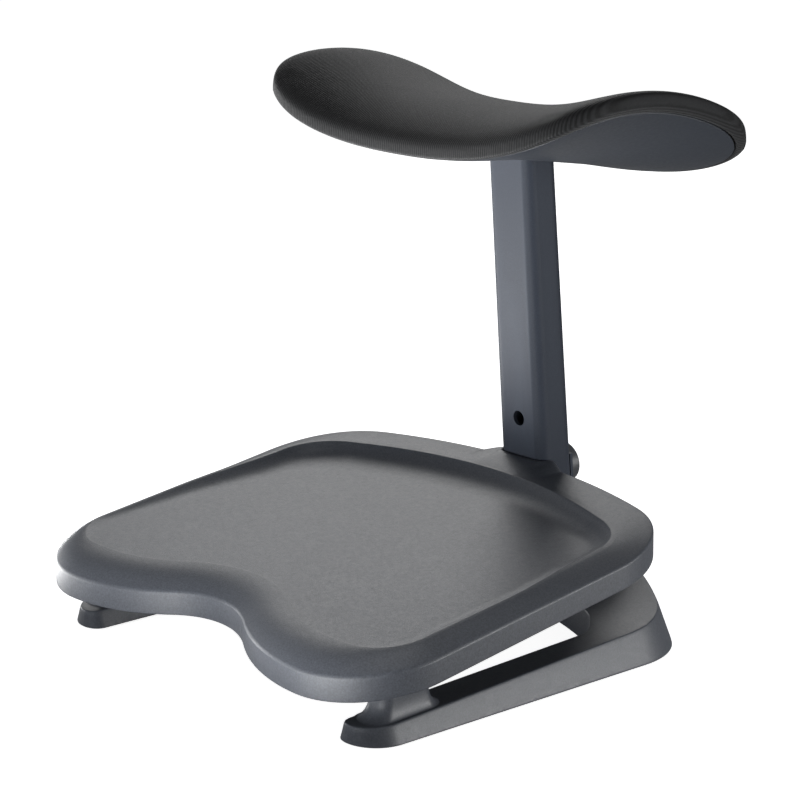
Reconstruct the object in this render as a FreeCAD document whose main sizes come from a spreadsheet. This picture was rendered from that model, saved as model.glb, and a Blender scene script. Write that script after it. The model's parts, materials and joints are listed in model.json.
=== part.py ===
import FreeCAD, Part
import math
import os

import Sketcher
from FreeCAD import Placement, Rotation, Vector

# A footrest: a tilted foot tray on a U-shaped base, and a saddle-shaped calf pad
# on a post that slides in a socket behind the tray and is held by a lock knob.
# X runs across the tray, +Y to the post at the rear, +Z up from the floor.

# Driving sizes in millimetres and degrees
SIZES = (
    # Tray
    ("tray_height", 81),
    ("tray_tilt", 8.88),
    ("tray_half_width", 203.5),
    ("tray_front", 176),
    ("tray_rear", 168),
    ("notch_radius", 80),
    ("lobe_radius", 170),
    ("front_corner_radius", 70),
    ("rear_corner_radius", 73),
    ("rear_edge_radius", 455),
    ("band_height", 18.1),
    ("crest_middle", 8.2),
    ("crest_fall", 0.9),
    ("crest_side_inset", 16),
    ("crest_rear_inset", 31),
    ("crest_front_inset", 28),
    ("crest_corner_inset", 20),
    ("dish_middle", 2.5),
    ("dish_fall", 3.1),
    ("dish_wall_inset", 8),
    ("dish_wall_angle", 38),
    ("tray_wall", 4),
    ("cavity_depth", 9.5),
    ("tray_plate_thickness", 3),
    # Collar round the post on the tray
    ("collar_side_wall", 6),
    ("collar_front_wall", 9),
    ("collar_height", 17),
    ("skirt_width", 94),
    ("skirt_reach", 44),
    ("skirt_height", 8),
    ("visor_back", 8),
    # Base
    ("base_half_width", 182),
    ("base_front", 142),
    ("base_rear", 226),
    ("base_lift", 0.8),
    ("foot_width", 42),
    ("toe_radius", 17),
    ("foot_height", 14),
    ("runner_rise", 2.6),
    ("sweep_start", 105),
    ("sweep_radius", 270),
    ("block_height", 44),
    ("base_draft", 20),
    ("block_corner_radius", 70),
    ("block_rear_radius", 250),
    ("bay_half_width", 112),
    ("bay_rear", 118),
    ("bay_corner_radius", 27),
    ("neck_width", 20),
    ("neck_corner", 9),
    ("neck_length", 48),
    ("neck_middle", 110),
    ("neck_draft", 6),
    ("pedestal_width", 132),
    ("pedestal_front", 128),
    ("pedestal_rear", 213),
    ("pedestal_draft", 9),
    # Rubber feet
    ("foot_pad_diameter", 22),
    ("foot_pad_recess", 2.5),
    ("foot_pad_rear", 140),
    # Post and socket
    ("lock_y", 179.3),
    ("lock_z", 97.5),
    ("post_lean", 4.76),
    ("post_width", 50),
    ("post_depth", 34),
    ("post_corner", 9),
    ("post_top_width", 46.5),
    ("post_top_depth", 31.6),
    ("post_wall", 2.5),
    ("post_below", 40),
    ("post_straight", 15),
    ("post_above", 261),
    ("post_overrun", 1.1),
    ("index_pitch", 48),
    ("index_hole", 12),
    ("slide_gap", 0.3),
    ("bush_wall", 1.7),
    ("upper_bush_length", 6.5),
    ("lower_bush_top", 18),
    ("lower_bush_length", 18),
    ("bush_flange", 1.6),
    ("sleeve_wall", 2.5),
    ("sleeve_top", 13),
    ("window_drop", 7),
    ("tongue_width", 38),
    ("sleeve_bottom", 88),
    ("seat_gap", 0.2),
    ("plug_thickness", 5),
    ("plug_spigot", 12),
    # Lock
    ("pin_diameter", 11),
    ("pin_tip", 1.5),
    ("pin_fit", 0.05),
    ("pin_tail_diameter", 6),
    ("pin_tail_end", 31.4),
    ("barrel_diameter", 17),
    ("barrel_end", 24.6),
    ("knob_diameter", 32),
    ("knob_room", 2),
    ("knob_front", 22),
    ("knob_rear", 32.5),
    ("knob_core_front", 24.8),
    ("knob_core_rear", 29.2),
    ("knob_recess", 22),
    ("knob_ribs", 32),
    ("knob_rib_depth", 0.9),
    ("knob_bead", 2),
    ("knob_cap_thickness", 1),
    # Fasteners
    ("bolt_diameter", 6),
    ("bolt_head", 10),
    ("bolt_head_height", 4),
    ("bolt_depth", 20),
    ("screw_diameter", 4),
    ("screw_head", 7.5),
    ("screw_head_height", 2),
    ("screw_boss", 10),
    ("hole_clearance", 0.2),
    ("socket_bolt_spread", 15),
    ("socket_bolt_drop", 60),
    # Calf pad
    ("pad_half_width", 173.7),
    ("pad_half_depth", 110),
    ("pad_corner_power", 5.76),
    ("pad_middle_y", 138.4),
    ("pad_middle_z", 378.6),
    ("pad_rise", 31),
    ("pad_rise_power", 2.4),
    ("pad_slope", -0.146),
    ("pad_crown", -26.8),
    ("pad_top_height", 15.9),
    ("pad_top_power", 4.9),
    ("pad_belly", 27.1),
    ("pad_belly_power", 1.45),
    ("seam_drop", 3.3),
    ("shell_inset", 5),
    ("fabric_thickness", 1.6),
    ("board_inset", 8),
    ("board_thickness", 6),
    ("layer_gap", 0.3),
    # Pad bracket
    ("bracket_width", 96),
    ("bracket_depth", 64),
    ("bracket_corner", 10),
    ("bracket_thickness", 7),
    ("bracket_plug_length", 38),
    ("bracket_bolt_depth", 5),
)

document = FreeCAD.newDocument("footrest")
sheet = document.addObject("Spreadsheet::Sheet", "Sizes")
for row, (alias, number) in enumerate(SIZES, start=1):
    sheet.set(f"A{row}", alias)
    sheet.set(f"B{row}", str(number))
    sheet.setAlias(f"B{row}", alias)
document.recompute()

# The tilted planes that sketches lie on: each is a point and an angle about X
TRAY = ("0", "Sizes.tray_height", "Sizes.tray_tilt")
UNDER = ("0", "Sizes.tray_height - Sizes.band_height", "Sizes.tray_tilt")
POST = ("Sizes.lock_y", "Sizes.lock_z", "Sizes.post_lean")
PEDESTAL_TOP = "Sizes.tray_height - Sizes.band_height + Sizes.lock_y * tan(Sizes.tray_tilt * 1 deg)"
PEDESTAL = ("Sizes.lock_y", PEDESTAL_TOP, "Sizes.tray_tilt")
FLOOR = ("0", "0", "0")


def value(expression):
    """The number that an expression on the sheet gives."""
    result = sheet.evalExpression(expression)
    return float(getattr(result, "Value", result))


def lifted(frame, lift):
    """A frame moved along its own normal."""
    y, z, angle = frame
    return (
        f"{y} - ({lift}) * sin({angle} * 1 deg)",
        f"{z} + ({lift}) * cos({angle} * 1 deg)",
        angle,
    )


def turned(frame, fall):
    """A frame turned down towards the rear by an angle."""
    y, z, angle = frame
    return (y, z, f"({angle} - {fall})")


CREST = turned(lifted(TRAY, "Sizes.crest_middle"), "Sizes.crest_fall")
DISH = turned(lifted(TRAY, "Sizes.dish_middle"), "Sizes.dish_fall")
SEAT_SLOPE = "(atan(Sizes.pad_slope) / 1 deg)"
SEAT = lifted(POST, "Sizes.post_above")[:2] + (SEAT_SLOPE,)


def frame_placement(frame):
    """The placement of a frame, from the sheet's numbers."""
    y, z, angle = (value(item) for item in frame)
    return Placement(Vector(0, y, z), Rotation(Vector(1, 0, 0), angle))


def new_body(label):
    body = document.addObject("PartDesign::Body", label)
    body.Label = label
    return body


def origin_plane(body, role):
    return next(item for item in body.Origin.OriginFeatures if item.Role == role)


def new_sketch(body, name, frame=FLOOR, role="XY_Plane"):
    """A sketch on one of its body's origin planes, moved to a frame."""
    sketch = body.newObject("Sketcher::SketchObject", f"{body.Name}_{name}")
    sketch.AttachmentSupport = [(origin_plane(body, role), "")]
    sketch.MapMode = "FlatFace"
    y, z, angle = frame
    if role == "XY_Plane":
        sketch.AttachmentOffset = Placement(Vector(), Rotation(Vector(1, 0, 0), 1))
        sketch.setExpression("AttachmentOffset.Base.y", y)
        sketch.setExpression("AttachmentOffset.Base.z", z)
        sketch.setExpression("AttachmentOffset.Rotation.Angle", f"{angle} * 1 deg")
    return sketch


def bind(sketch, kind, references, expression):
    """A dimension of a sketch that follows the sheet."""
    constraint = Sketcher.Constraint(kind, *references, value(expression))
    index = sketch.addConstraint(constraint)
    sketch.setExpression(f"Constraints[{index}]", expression)


def locate(sketch, geometry, position, x, y):
    bind(sketch, "DistanceX", (-1, 1, geometry, position), x)
    bind(sketch, "DistanceY", (-1, 1, geometry, position), y)


def tangent(sketch, first, first_end, second, second_end):
    sketch.addConstraint(
        Sketcher.Constraint("Tangent", first, first_end, second, second_end)
    )


def polygon(sketch, corners):
    """A closed outline of straight edges through corners given as expressions."""
    points = [Vector(value(x), value(y), 0) for x, y in corners]
    count = len(points)
    start = sketch.GeometryCount
    for index, point in enumerate(points):
        sketch.addGeometry(Part.LineSegment(point, points[(index + 1) % count]))
    for index in range(count):
        following = start + (index + 1) % count
        joint = Sketcher.Constraint("Coincident", start + index, 2, following, 1)
        sketch.addConstraint(joint)
    for index, (x, y) in enumerate(corners):
        locate(sketch, start + index, 1, x, y)


def circle(sketch, x, y, diameter):
    geometry = sketch.addGeometry(
        Part.Circle(Vector(value(x), value(y), 0), Vector(0, 0, 1), value(diameter) / 2)
    )
    locate(sketch, geometry, 3, x, y)
    bind(sketch, "Diameter", (geometry,), diameter)


def arc(centre, radius, start, end):
    """A circular arc between two angles in degrees."""
    round_part = Part.Circle(centre, Vector(0, 0, 1), radius)
    return Part.ArcOfCircle(round_part, math.radians(start), math.radians(end))


def rounded_rectangle(sketch, width, depth, radius, x="0", y="0"):
    """A rectangle with round corners about a middle point."""
    half_width = f"(({width}) / 2 - ({radius}))"
    half_depth = f"(({depth}) / 2 - ({radius}))"
    signs = ((1, 1), (-1, 1), (-1, -1), (1, -1))
    corner_radius = value(radius)
    centres = [
        (f"{x} + ({sx}) * {half_width}", f"{y} + ({sy}) * {half_depth}")
        for sx, sy in signs
    ]
    corners = []
    for index, (cx, cy) in enumerate(centres):
        middle = Vector(value(cx), value(cy), 0)
        turn = 90 * index
        corners.append(sketch.addGeometry(arc(middle, corner_radius, turn, turn + 90)))
    sides = []
    for index, corner in enumerate(corners):
        following = sketch.Geometry[corners[(index + 1) % 4]]
        side = Part.LineSegment(sketch.Geometry[corner].EndPoint, following.StartPoint)
        sides.append(sketch.addGeometry(side))
    for index, corner in enumerate(corners):
        tangent(sketch, corner, 2, sides[index], 1)
        tangent(sketch, sides[index], 2, corners[(index + 1) % 4], 1)
    for corner, (cx, cy) in zip(corners, centres):
        locate(sketch, corner, 3, cx, cy)
    bind(sketch, "Radius", (corners[0],), radius)
    for corner in corners[1:]:
        sketch.addConstraint(Sketcher.Constraint("Equal", corners[0], corner))


def tray_outline(sketch, side="0", rear="0", front="0", corner="0"):
    """The tray's outline, drawn in from its edge: notch, lobes, sides, rear arc."""
    names = {
        "width": f"(Sizes.tray_half_width - ({side}))",
        "front": f"(Sizes.tray_front - ({front}))",
        "rear": f"(Sizes.tray_rear - ({rear}))",
        "notch": f"(Sizes.notch_radius + ({front}))",
        "lobe": f"(Sizes.lobe_radius - ({front}))",
        "corner": f"(Sizes.front_corner_radius - ({corner}))",
        "rear_corner": f"(Sizes.rear_corner_radius - ({corner}))",
        "rear_edge": f"(Sizes.rear_edge_radius - ({rear}))",
    }
    size = {name: value(item) for name, item in names.items()}
    corner_x = size["width"] - size["corner"]
    rear_x = size["width"] - size["rear_corner"]
    lobe_y = size["lobe"] - size["front"]
    notch_y = lobe_y - math.sqrt((size["lobe"] + size["notch"]) ** 2 - corner_x**2)
    corner_y = size["corner"] - size["front"]
    rear_edge_y = size["rear"] - size["rear_edge"]
    reach = size["rear_edge"] - size["rear_corner"]
    rear_y = rear_edge_y + math.sqrt(reach**2 - rear_x**2)
    lean = math.degrees(math.atan2(lobe_y - notch_y, corner_x))
    sweep = math.degrees(math.atan2(rear_y - rear_edge_y, rear_x))
    shapes = (
        arc(Vector(0, notch_y, 0), size["notch"], lean, 180 - lean),
        arc(Vector(corner_x, lobe_y, 0), size["lobe"], 180 + lean, 270),
        arc(Vector(corner_x, corner_y, 0), size["corner"], 270, 360),
        Part.LineSegment(
            Vector(size["width"], corner_y, 0), Vector(size["width"], rear_y, 0)
        ),
        arc(Vector(rear_x, rear_y, 0), size["rear_corner"], 0, sweep),
        arc(Vector(0, rear_edge_y, 0), size["rear_edge"], sweep, 180 - sweep),
        arc(Vector(-rear_x, rear_y, 0), size["rear_corner"], 180 - sweep, 180),
        Part.LineSegment(
            Vector(-size["width"], rear_y, 0), Vector(-size["width"], corner_y, 0)
        ),
        arc(Vector(-corner_x, corner_y, 0), size["corner"], 180, 270),
        arc(Vector(-corner_x, lobe_y, 0), size["lobe"], 270, 360 - lean),
    )
    notch, lobe, front_corner, side_line, rear_corner, edge = range(6)
    far_rear, far_side, far_corner, far_lobe = range(6, 10)
    for shape in shapes:
        sketch.addGeometry(shape)
    joints = (
        (notch, 1, lobe, 1),
        (lobe, 2, front_corner, 1),
        (front_corner, 2, side_line, 1),
        (side_line, 2, rear_corner, 1),
        (rear_corner, 2, edge, 1),
        (edge, 2, far_rear, 1),
        (far_rear, 2, far_side, 1),
        (far_side, 2, far_corner, 1),
        (far_corner, 2, far_lobe, 1),
        (far_lobe, 2, notch, 2),
    )
    for joint in joints:
        tangent(sketch, *joint)
    for middle in (notch, edge):
        sketch.addConstraint(Sketcher.Constraint("PointOnObject", middle, 3, -2))
    for upper, lower in ((lobe, front_corner), (far_lobe, far_corner)):
        sketch.addConstraint(Sketcher.Constraint("Vertical", upper, 3, lower, 3))
    for line in (side_line, far_side):
        sketch.addConstraint(Sketcher.Constraint("Vertical", line))
    bind(sketch, "DistanceX", (-1, 1, side_line, 1), names["width"])
    bind(sketch, "DistanceX", (-1, 1, far_side, 1), f"-{names['width']}")
    bind(sketch, "DistanceY", (-1, 1, edge, 3), f"{names['rear']} - {names['rear_edge']}")
    bind(sketch, "DistanceY", (-1, 1, lobe, 3), f"{names['lobe']} - {names['front']}")
    for geometry, name in (
        (notch, "notch"),
        (lobe, "lobe"),
        (far_lobe, "lobe"),
        (front_corner, "corner"),
        (far_corner, "corner"),
        (rear_corner, "rear_corner"),
        (far_rear, "rear_corner"),
        (edge, "rear_edge"),
    ):
        bind(sketch, "Radius", (geometry,), names[name])


def extrude(body, kind, sketch, length=None, reversed_side=False, draft=None, both=False):
    """A pad or a pocket of a sketch; without a length it goes through all."""
    feature = body.newObject(f"PartDesign::{kind}", f"{sketch.Name}_{kind}")
    feature.Profile = sketch
    feature.Reversed = reversed_side
    if both:
        feature.SideType = "Symmetric"
    if length is None:
        feature.Type = "ThroughAll"
    else:
        feature.setExpression("Length", length)
    if draft is not None:
        feature.setExpression("TaperAngle", f"({draft}) * 1 deg")
    before = body.Shape.Volume if kind == "Pocket" else 0
    document.recompute()
    if kind == "Pocket" and not feature.Shape.Volume < before:
        raise RuntimeError(f"{feature.Name} cuts nothing")
    return feature


def pad(body, sketch, length, **options):
    return extrude(body, "Pad", sketch, length, **options)


def pocket(body, sketch, length=None, **options):
    document.recompute()
    return extrude(body, "Pocket", sketch, length, **options)


def loft(body, sketches):
    feature = body.newObject("PartDesign::AdditiveLoft", f"{sketches[0].Name}_Loft")
    feature.Profile = sketches[0]
    feature.Sections = sketches[1:]
    feature.Ruled = True
    document.recompute()
    return feature


def revolve(body, sketch, kind="Revolution"):
    """A full turn of a sketch about its own upright axis."""
    feature = body.newObject(f"PartDesign::{kind}", f"{sketch.Name}_{kind}")
    feature.Profile = sketch
    feature.ReferenceAxis = (sketch, ["V_Axis"])
    feature.Angle = 360
    document.recompute()
    return feature


# Sizes that follow from the driving ones
SLEEVE_INSIDE = "2 * (Sizes.slide_gap + Sizes.bush_wall)"
SLEEVE_OUTSIDE = f"({SLEEVE_INSIDE} + 2 * Sizes.sleeve_wall)"
SLEEVE_REAR = f"((Sizes.post_depth + {SLEEVE_OUTSIDE}) / 2)"
NECK_X = "(Sizes.base_half_width - Sizes.foot_width / 2 - 1.5)"


def post_section(sketch, grow):
    """The post's section, grown on every side."""
    rounded_rectangle(
        sketch,
        f"Sizes.post_width + {grow}",
        f"Sizes.post_depth + {grow}",
        f"Sizes.post_corner + ({grow}) / 2",
    )


def socket_opening(body):
    """The slanting hole that the post's sleeve sits in."""
    sketch = new_sketch(body, "socket", POST)
    post_section(sketch, f"({SLEEVE_OUTSIDE} + 2 * Sizes.seat_gap)")
    pocket(body, sketch, both=True)


BEHIND_VISOR = "(2 * Sizes.skirt_reach - Sizes.visor_back)"


def visor_cut(body):
    """Opens the collar behind its visor, so that the post's sides and rear are free."""
    sketch = new_sketch(body, "visor_back", POST)
    rounded_rectangle(
        sketch,
        "2 * Sizes.skirt_width",
        "4 * Sizes.skirt_reach",
        "Sizes.post_corner",
        y=BEHIND_VISOR,
    )
    pocket(body, sketch, both=True)


def tray_bolt_places():
    """Where the base is bolted to the tray, on the tray's plane."""
    front = "-Sizes.neck_middle"
    rear = "(Sizes.tray_rear - Sizes.tray_wall - 1.5 * Sizes.screw_boss)"
    spread = "(Sizes.pedestal_width / 2 - Sizes.bolt_head)"
    return [
        (f"{sign} * {across}", along)
        for across, along in ((NECK_X, front), (spread, rear))
        for sign in ("-1", "1")
    ]


def tray_screw_places():
    """Where the tray's lower plate is screwed on, on the tray's plane."""
    margin = "(Sizes.tray_half_width - Sizes.tray_wall - 1.5 * Sizes.screw_boss)"
    rows = (
        (margin, "-Sizes.tray_front / 4"),
        (margin, "Sizes.tray_rear / 3"),
        ("Sizes.tray_half_width / 2", "-Sizes.tray_front * 0.7"),
        ("Sizes.tray_half_width / 2", "Sizes.tray_rear * 0.72"),
    )
    return [(f"{sign} * {x}", y) for x, y in rows for sign in ("-1", "1")]


def make_tray():
    """The foot tray: a drafted band, a rim that rises to a crest, and a dish."""
    body = new_body("tray_shell")
    edge = new_sketch(body, "edge", TRAY)
    tray_outline(edge)
    band = pad(body, edge, "Sizes.band_height")
    band.UseCustomVector = True
    band.Direction = Vector(0, 0, -1)
    band.AlongSketchNormal = False
    rim = new_sketch(body, "rim", TRAY)
    tray_outline(rim)
    crest = new_sketch(body, "crest", CREST)
    tray_outline(
        crest,
        side="Sizes.crest_side_inset",
        rear="Sizes.crest_rear_inset",
        front="Sizes.crest_front_inset",
        corner="Sizes.crest_corner_inset",
    )
    loft(body, [rim, crest])
    collar = new_sketch(body, "collar", lifted(POST, "-Sizes.sleeve_top"))
    front_wall = f"({SLEEVE_OUTSIDE} / 2 + Sizes.collar_front_wall)"
    rounded_rectangle(
        collar,
        f"Sizes.post_width + {SLEEVE_OUTSIDE} + 2 * Sizes.collar_side_wall",
        f"Sizes.post_depth + {SLEEVE_OUTSIDE} / 2 + {front_wall}",
        "Sizes.post_corner",
        y=f"({SLEEVE_OUTSIDE} / 2 - {front_wall}) / 2",
    )
    pad(body, collar, "Sizes.collar_height + Sizes.sleeve_top")
    skirt = new_sketch(body, "skirt", lifted(POST, "Sizes.collar_height - Sizes.skirt_height"))
    skirt_rear = "(Sizes.post_depth / 2)"
    rounded_rectangle(
        skirt,
        "Sizes.skirt_width",
        f"Sizes.skirt_reach + {skirt_rear}",
        "Sizes.post_corner",
        y=f"({skirt_rear} - Sizes.skirt_reach) / 2",
    )
    top = new_sketch(body, "skirt_top", lifted(POST, "Sizes.collar_height"))
    rounded_rectangle(
        top,
        f"Sizes.post_width + {SLEEVE_OUTSIDE}",
        f"Sizes.post_depth + {SLEEVE_OUTSIDE} / 2",
        "Sizes.post_corner / 2",
        y=f"-{SLEEVE_OUTSIDE} / 4",
    )
    loft(body, [skirt, top])
    foot = new_sketch(body, "collar_foot", PEDESTAL)
    across = "2 * Sizes.pedestal_width"
    rounded_rectangle(foot, across, across, "Sizes.bay_corner_radius")
    pocket(body, foot, "Sizes.tray_height")
    visor_cut(body)
    dish = new_sketch(body, "dish", DISH)
    inner = "Sizes.dish_wall_inset"
    tray_outline(
        dish,
        side=f"Sizes.crest_side_inset + {inner}",
        rear=f"Sizes.crest_rear_inset + {inner}",
        front=f"Sizes.crest_front_inset + {inner}",
        corner=f"Sizes.crest_corner_inset + {inner}",
    )
    pocket(
        body, dish, "Sizes.band_height", reversed_side=True, draft="Sizes.dish_wall_angle"
    )
    cavity = new_sketch(body, "cavity", UNDER)
    tray_outline(cavity, *["Sizes.tray_wall"] * 4)
    pocket(body, cavity, "Sizes.cavity_depth", reversed_side=True)
    bosses = new_sketch(body, "bosses", lifted(UNDER, "Sizes.cavity_depth"))
    for x, y in tray_screw_places() + tray_bolt_places():
        circle(bosses, x, y, "Sizes.screw_boss")
    boss_height = "Sizes.cavity_depth - Sizes.tray_plate_thickness"
    pad(body, bosses, boss_height, reversed_side=True)
    holes = new_sketch(body, "holes", lifted(UNDER, "Sizes.cavity_depth"))
    fastener_holes(holes)
    pocket(body, holes, boss_height)
    socket_opening(body)
    return body


def fastener_holes(sketch):
    """The holes that the tray's screws and the base's bolts pass through."""
    for x, y in tray_screw_places():
        circle(sketch, x, y, "Sizes.screw_diameter + 2 * Sizes.hole_clearance")
    for x, y in tray_bolt_places():
        circle(sketch, x, y, "Sizes.bolt_diameter + 2 * Sizes.hole_clearance")


def make_tray_plate():
    """The plate that closes the tray from below."""
    body = new_body("tray_lower_plate")
    outline = new_sketch(body, "outline", UNDER)
    tray_outline(outline, *["Sizes.tray_wall + Sizes.seat_gap"] * 4)
    pad(body, outline, "Sizes.tray_plate_thickness")
    heads = new_sketch(body, "heads", UNDER)
    for x, y in tray_screw_places():
        circle(heads, x, y, "Sizes.screw_head + 2 * Sizes.hole_clearance")
    pocket(body, heads, "Sizes.screw_head_height", reversed_side=True)
    holes = new_sketch(body, "holes", UNDER)
    fastener_holes(holes)
    pocket(body, holes, reversed_side=True)
    socket_opening(body)
    return body


def fastener(diameter, length, head, head_height):
    """A screw along +Z whose head rests on the plane below it."""
    shank = Part.makeCylinder(diameter / 2, length)
    cap = Part.makeCylinder(head / 2, head_height, Vector(0, 0, -head_height))
    return shank.fuse(cap).removeSplitter()


def fastener_group(label, frame, places, length, kind="bolt", turn=0):
    """Like fasteners on one frame, one separate solid at each place."""
    names = (f"{kind}_diameter", f"{kind}_head", f"{kind}_head_height")
    diameter, head, head_height = (value(f"Sizes.{name}") for name in names)
    solids = []
    for x, y in places:
        solid = fastener(diameter, value(length), head, head_height)
        solid.rotate(Vector(), Vector(1, 0, 0), turn)
        solid.translate(Vector(value(x), value(y), 0))
        solids.append(solid)
    feature = document.addObject("Part::Feature", label)
    feature.Label = label
    feature.Shape = Part.makeCompound(solids)
    feature.Placement = frame_placement(frame)
    return feature


def make_base():
    """The base: a drafted U whose top sweeps up at the rear, necks and a pedestal."""
    body = new_body("base_frame")
    rise = "Sizes.base_lift"
    floor = ("0", rise, "0")
    plan = new_sketch(body, "plan", floor)
    base_outline(plan)
    pad(body, plan, "Sizes.block_height", draft="-Sizes.base_draft")
    sweep = new_sketch(body, "sweep", role="YZ_Plane")
    sweep_outline(sweep)
    pocket(body, sweep, both=True)
    tops = new_sketch(body, "necks", ("0", f"{rise} + Sizes.foot_height / 2", "0"))
    for sign in ("-1", "1"):
        rounded_rectangle(
            tops,
            "Sizes.neck_width",
            "Sizes.neck_length",
            "Sizes.neck_corner",
            x=f"{sign} * {NECK_X}",
            y="-Sizes.neck_middle",
        )
    pad(body, tops, "Sizes.tray_height / 2", draft="-Sizes.neck_draft")
    stand = new_sketch(body, "pedestal", ("0", f"{rise} + Sizes.block_height / 2", "0"))
    rounded_rectangle(
        stand,
        "Sizes.pedestal_width",
        "Sizes.pedestal_rear - Sizes.pedestal_front",
        "Sizes.bay_corner_radius",
        y="(Sizes.pedestal_rear + Sizes.pedestal_front) / 2",
    )
    pad(body, stand, "Sizes.tray_height", draft="-Sizes.pedestal_draft")
    trim = new_sketch(body, "trim", role="YZ_Plane")
    far = "2 * Sizes.base_rear"
    slope = "tan(Sizes.tray_tilt * 1 deg)"
    level = "Sizes.tray_height - Sizes.band_height"
    behind = f"Sizes.lock_y + {SLEEVE_REAR} - Sizes.sleeve_wall / 2"
    below_knob = "Sizes.lock_z - Sizes.knob_diameter / 2 - Sizes.knob_room"
    polygon(
        trim,
        (
            (f"-({far})", f"{level} - ({far}) * {slope}"),
            (behind, f"{level} + ({behind}) * {slope}"),
            (behind, below_knob),
            (far, below_knob),
            (far, far),
            (f"-({far})", far),
        ),
    )
    pocket(body, trim, both=True)
    socket_opening(body)
    wells = new_sketch(body, "wells", lifted(UNDER, "-Sizes.bolt_depth"))
    for x, y in tray_bolt_places():
        circle(wells, x, y, "Sizes.bolt_head + 4 * Sizes.hole_clearance")
    pocket(body, wells)
    holes = new_sketch(body, "holes", UNDER)
    for x, y in tray_bolt_places():
        circle(holes, x, y, "Sizes.bolt_diameter + 2 * Sizes.hole_clearance")
    pocket(body, holes)
    recesses = new_sketch(body, "recesses", floor)
    for x, y in foot_pad_places().values():
        circle(recesses, x, y, "Sizes.foot_pad_diameter + 2 * Sizes.seat_gap")
    pocket(body, recesses, "Sizes.foot_pad_recess", reversed_side=True)
    rear_holes = across_sketch(body, "rear_holes")
    rear_wells = across_sketch(body, "rear_wells", SOCKET_BOLT_SEAT)
    for x, y in socket_bolt_places():
        circle(rear_holes, x, y, "Sizes.bolt_diameter + 2 * Sizes.hole_clearance")
        circle(rear_wells, x, y, "Sizes.bolt_head + 4 * Sizes.hole_clearance")
    pocket(body, rear_holes)
    pocket(body, rear_wells)
    return body


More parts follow.
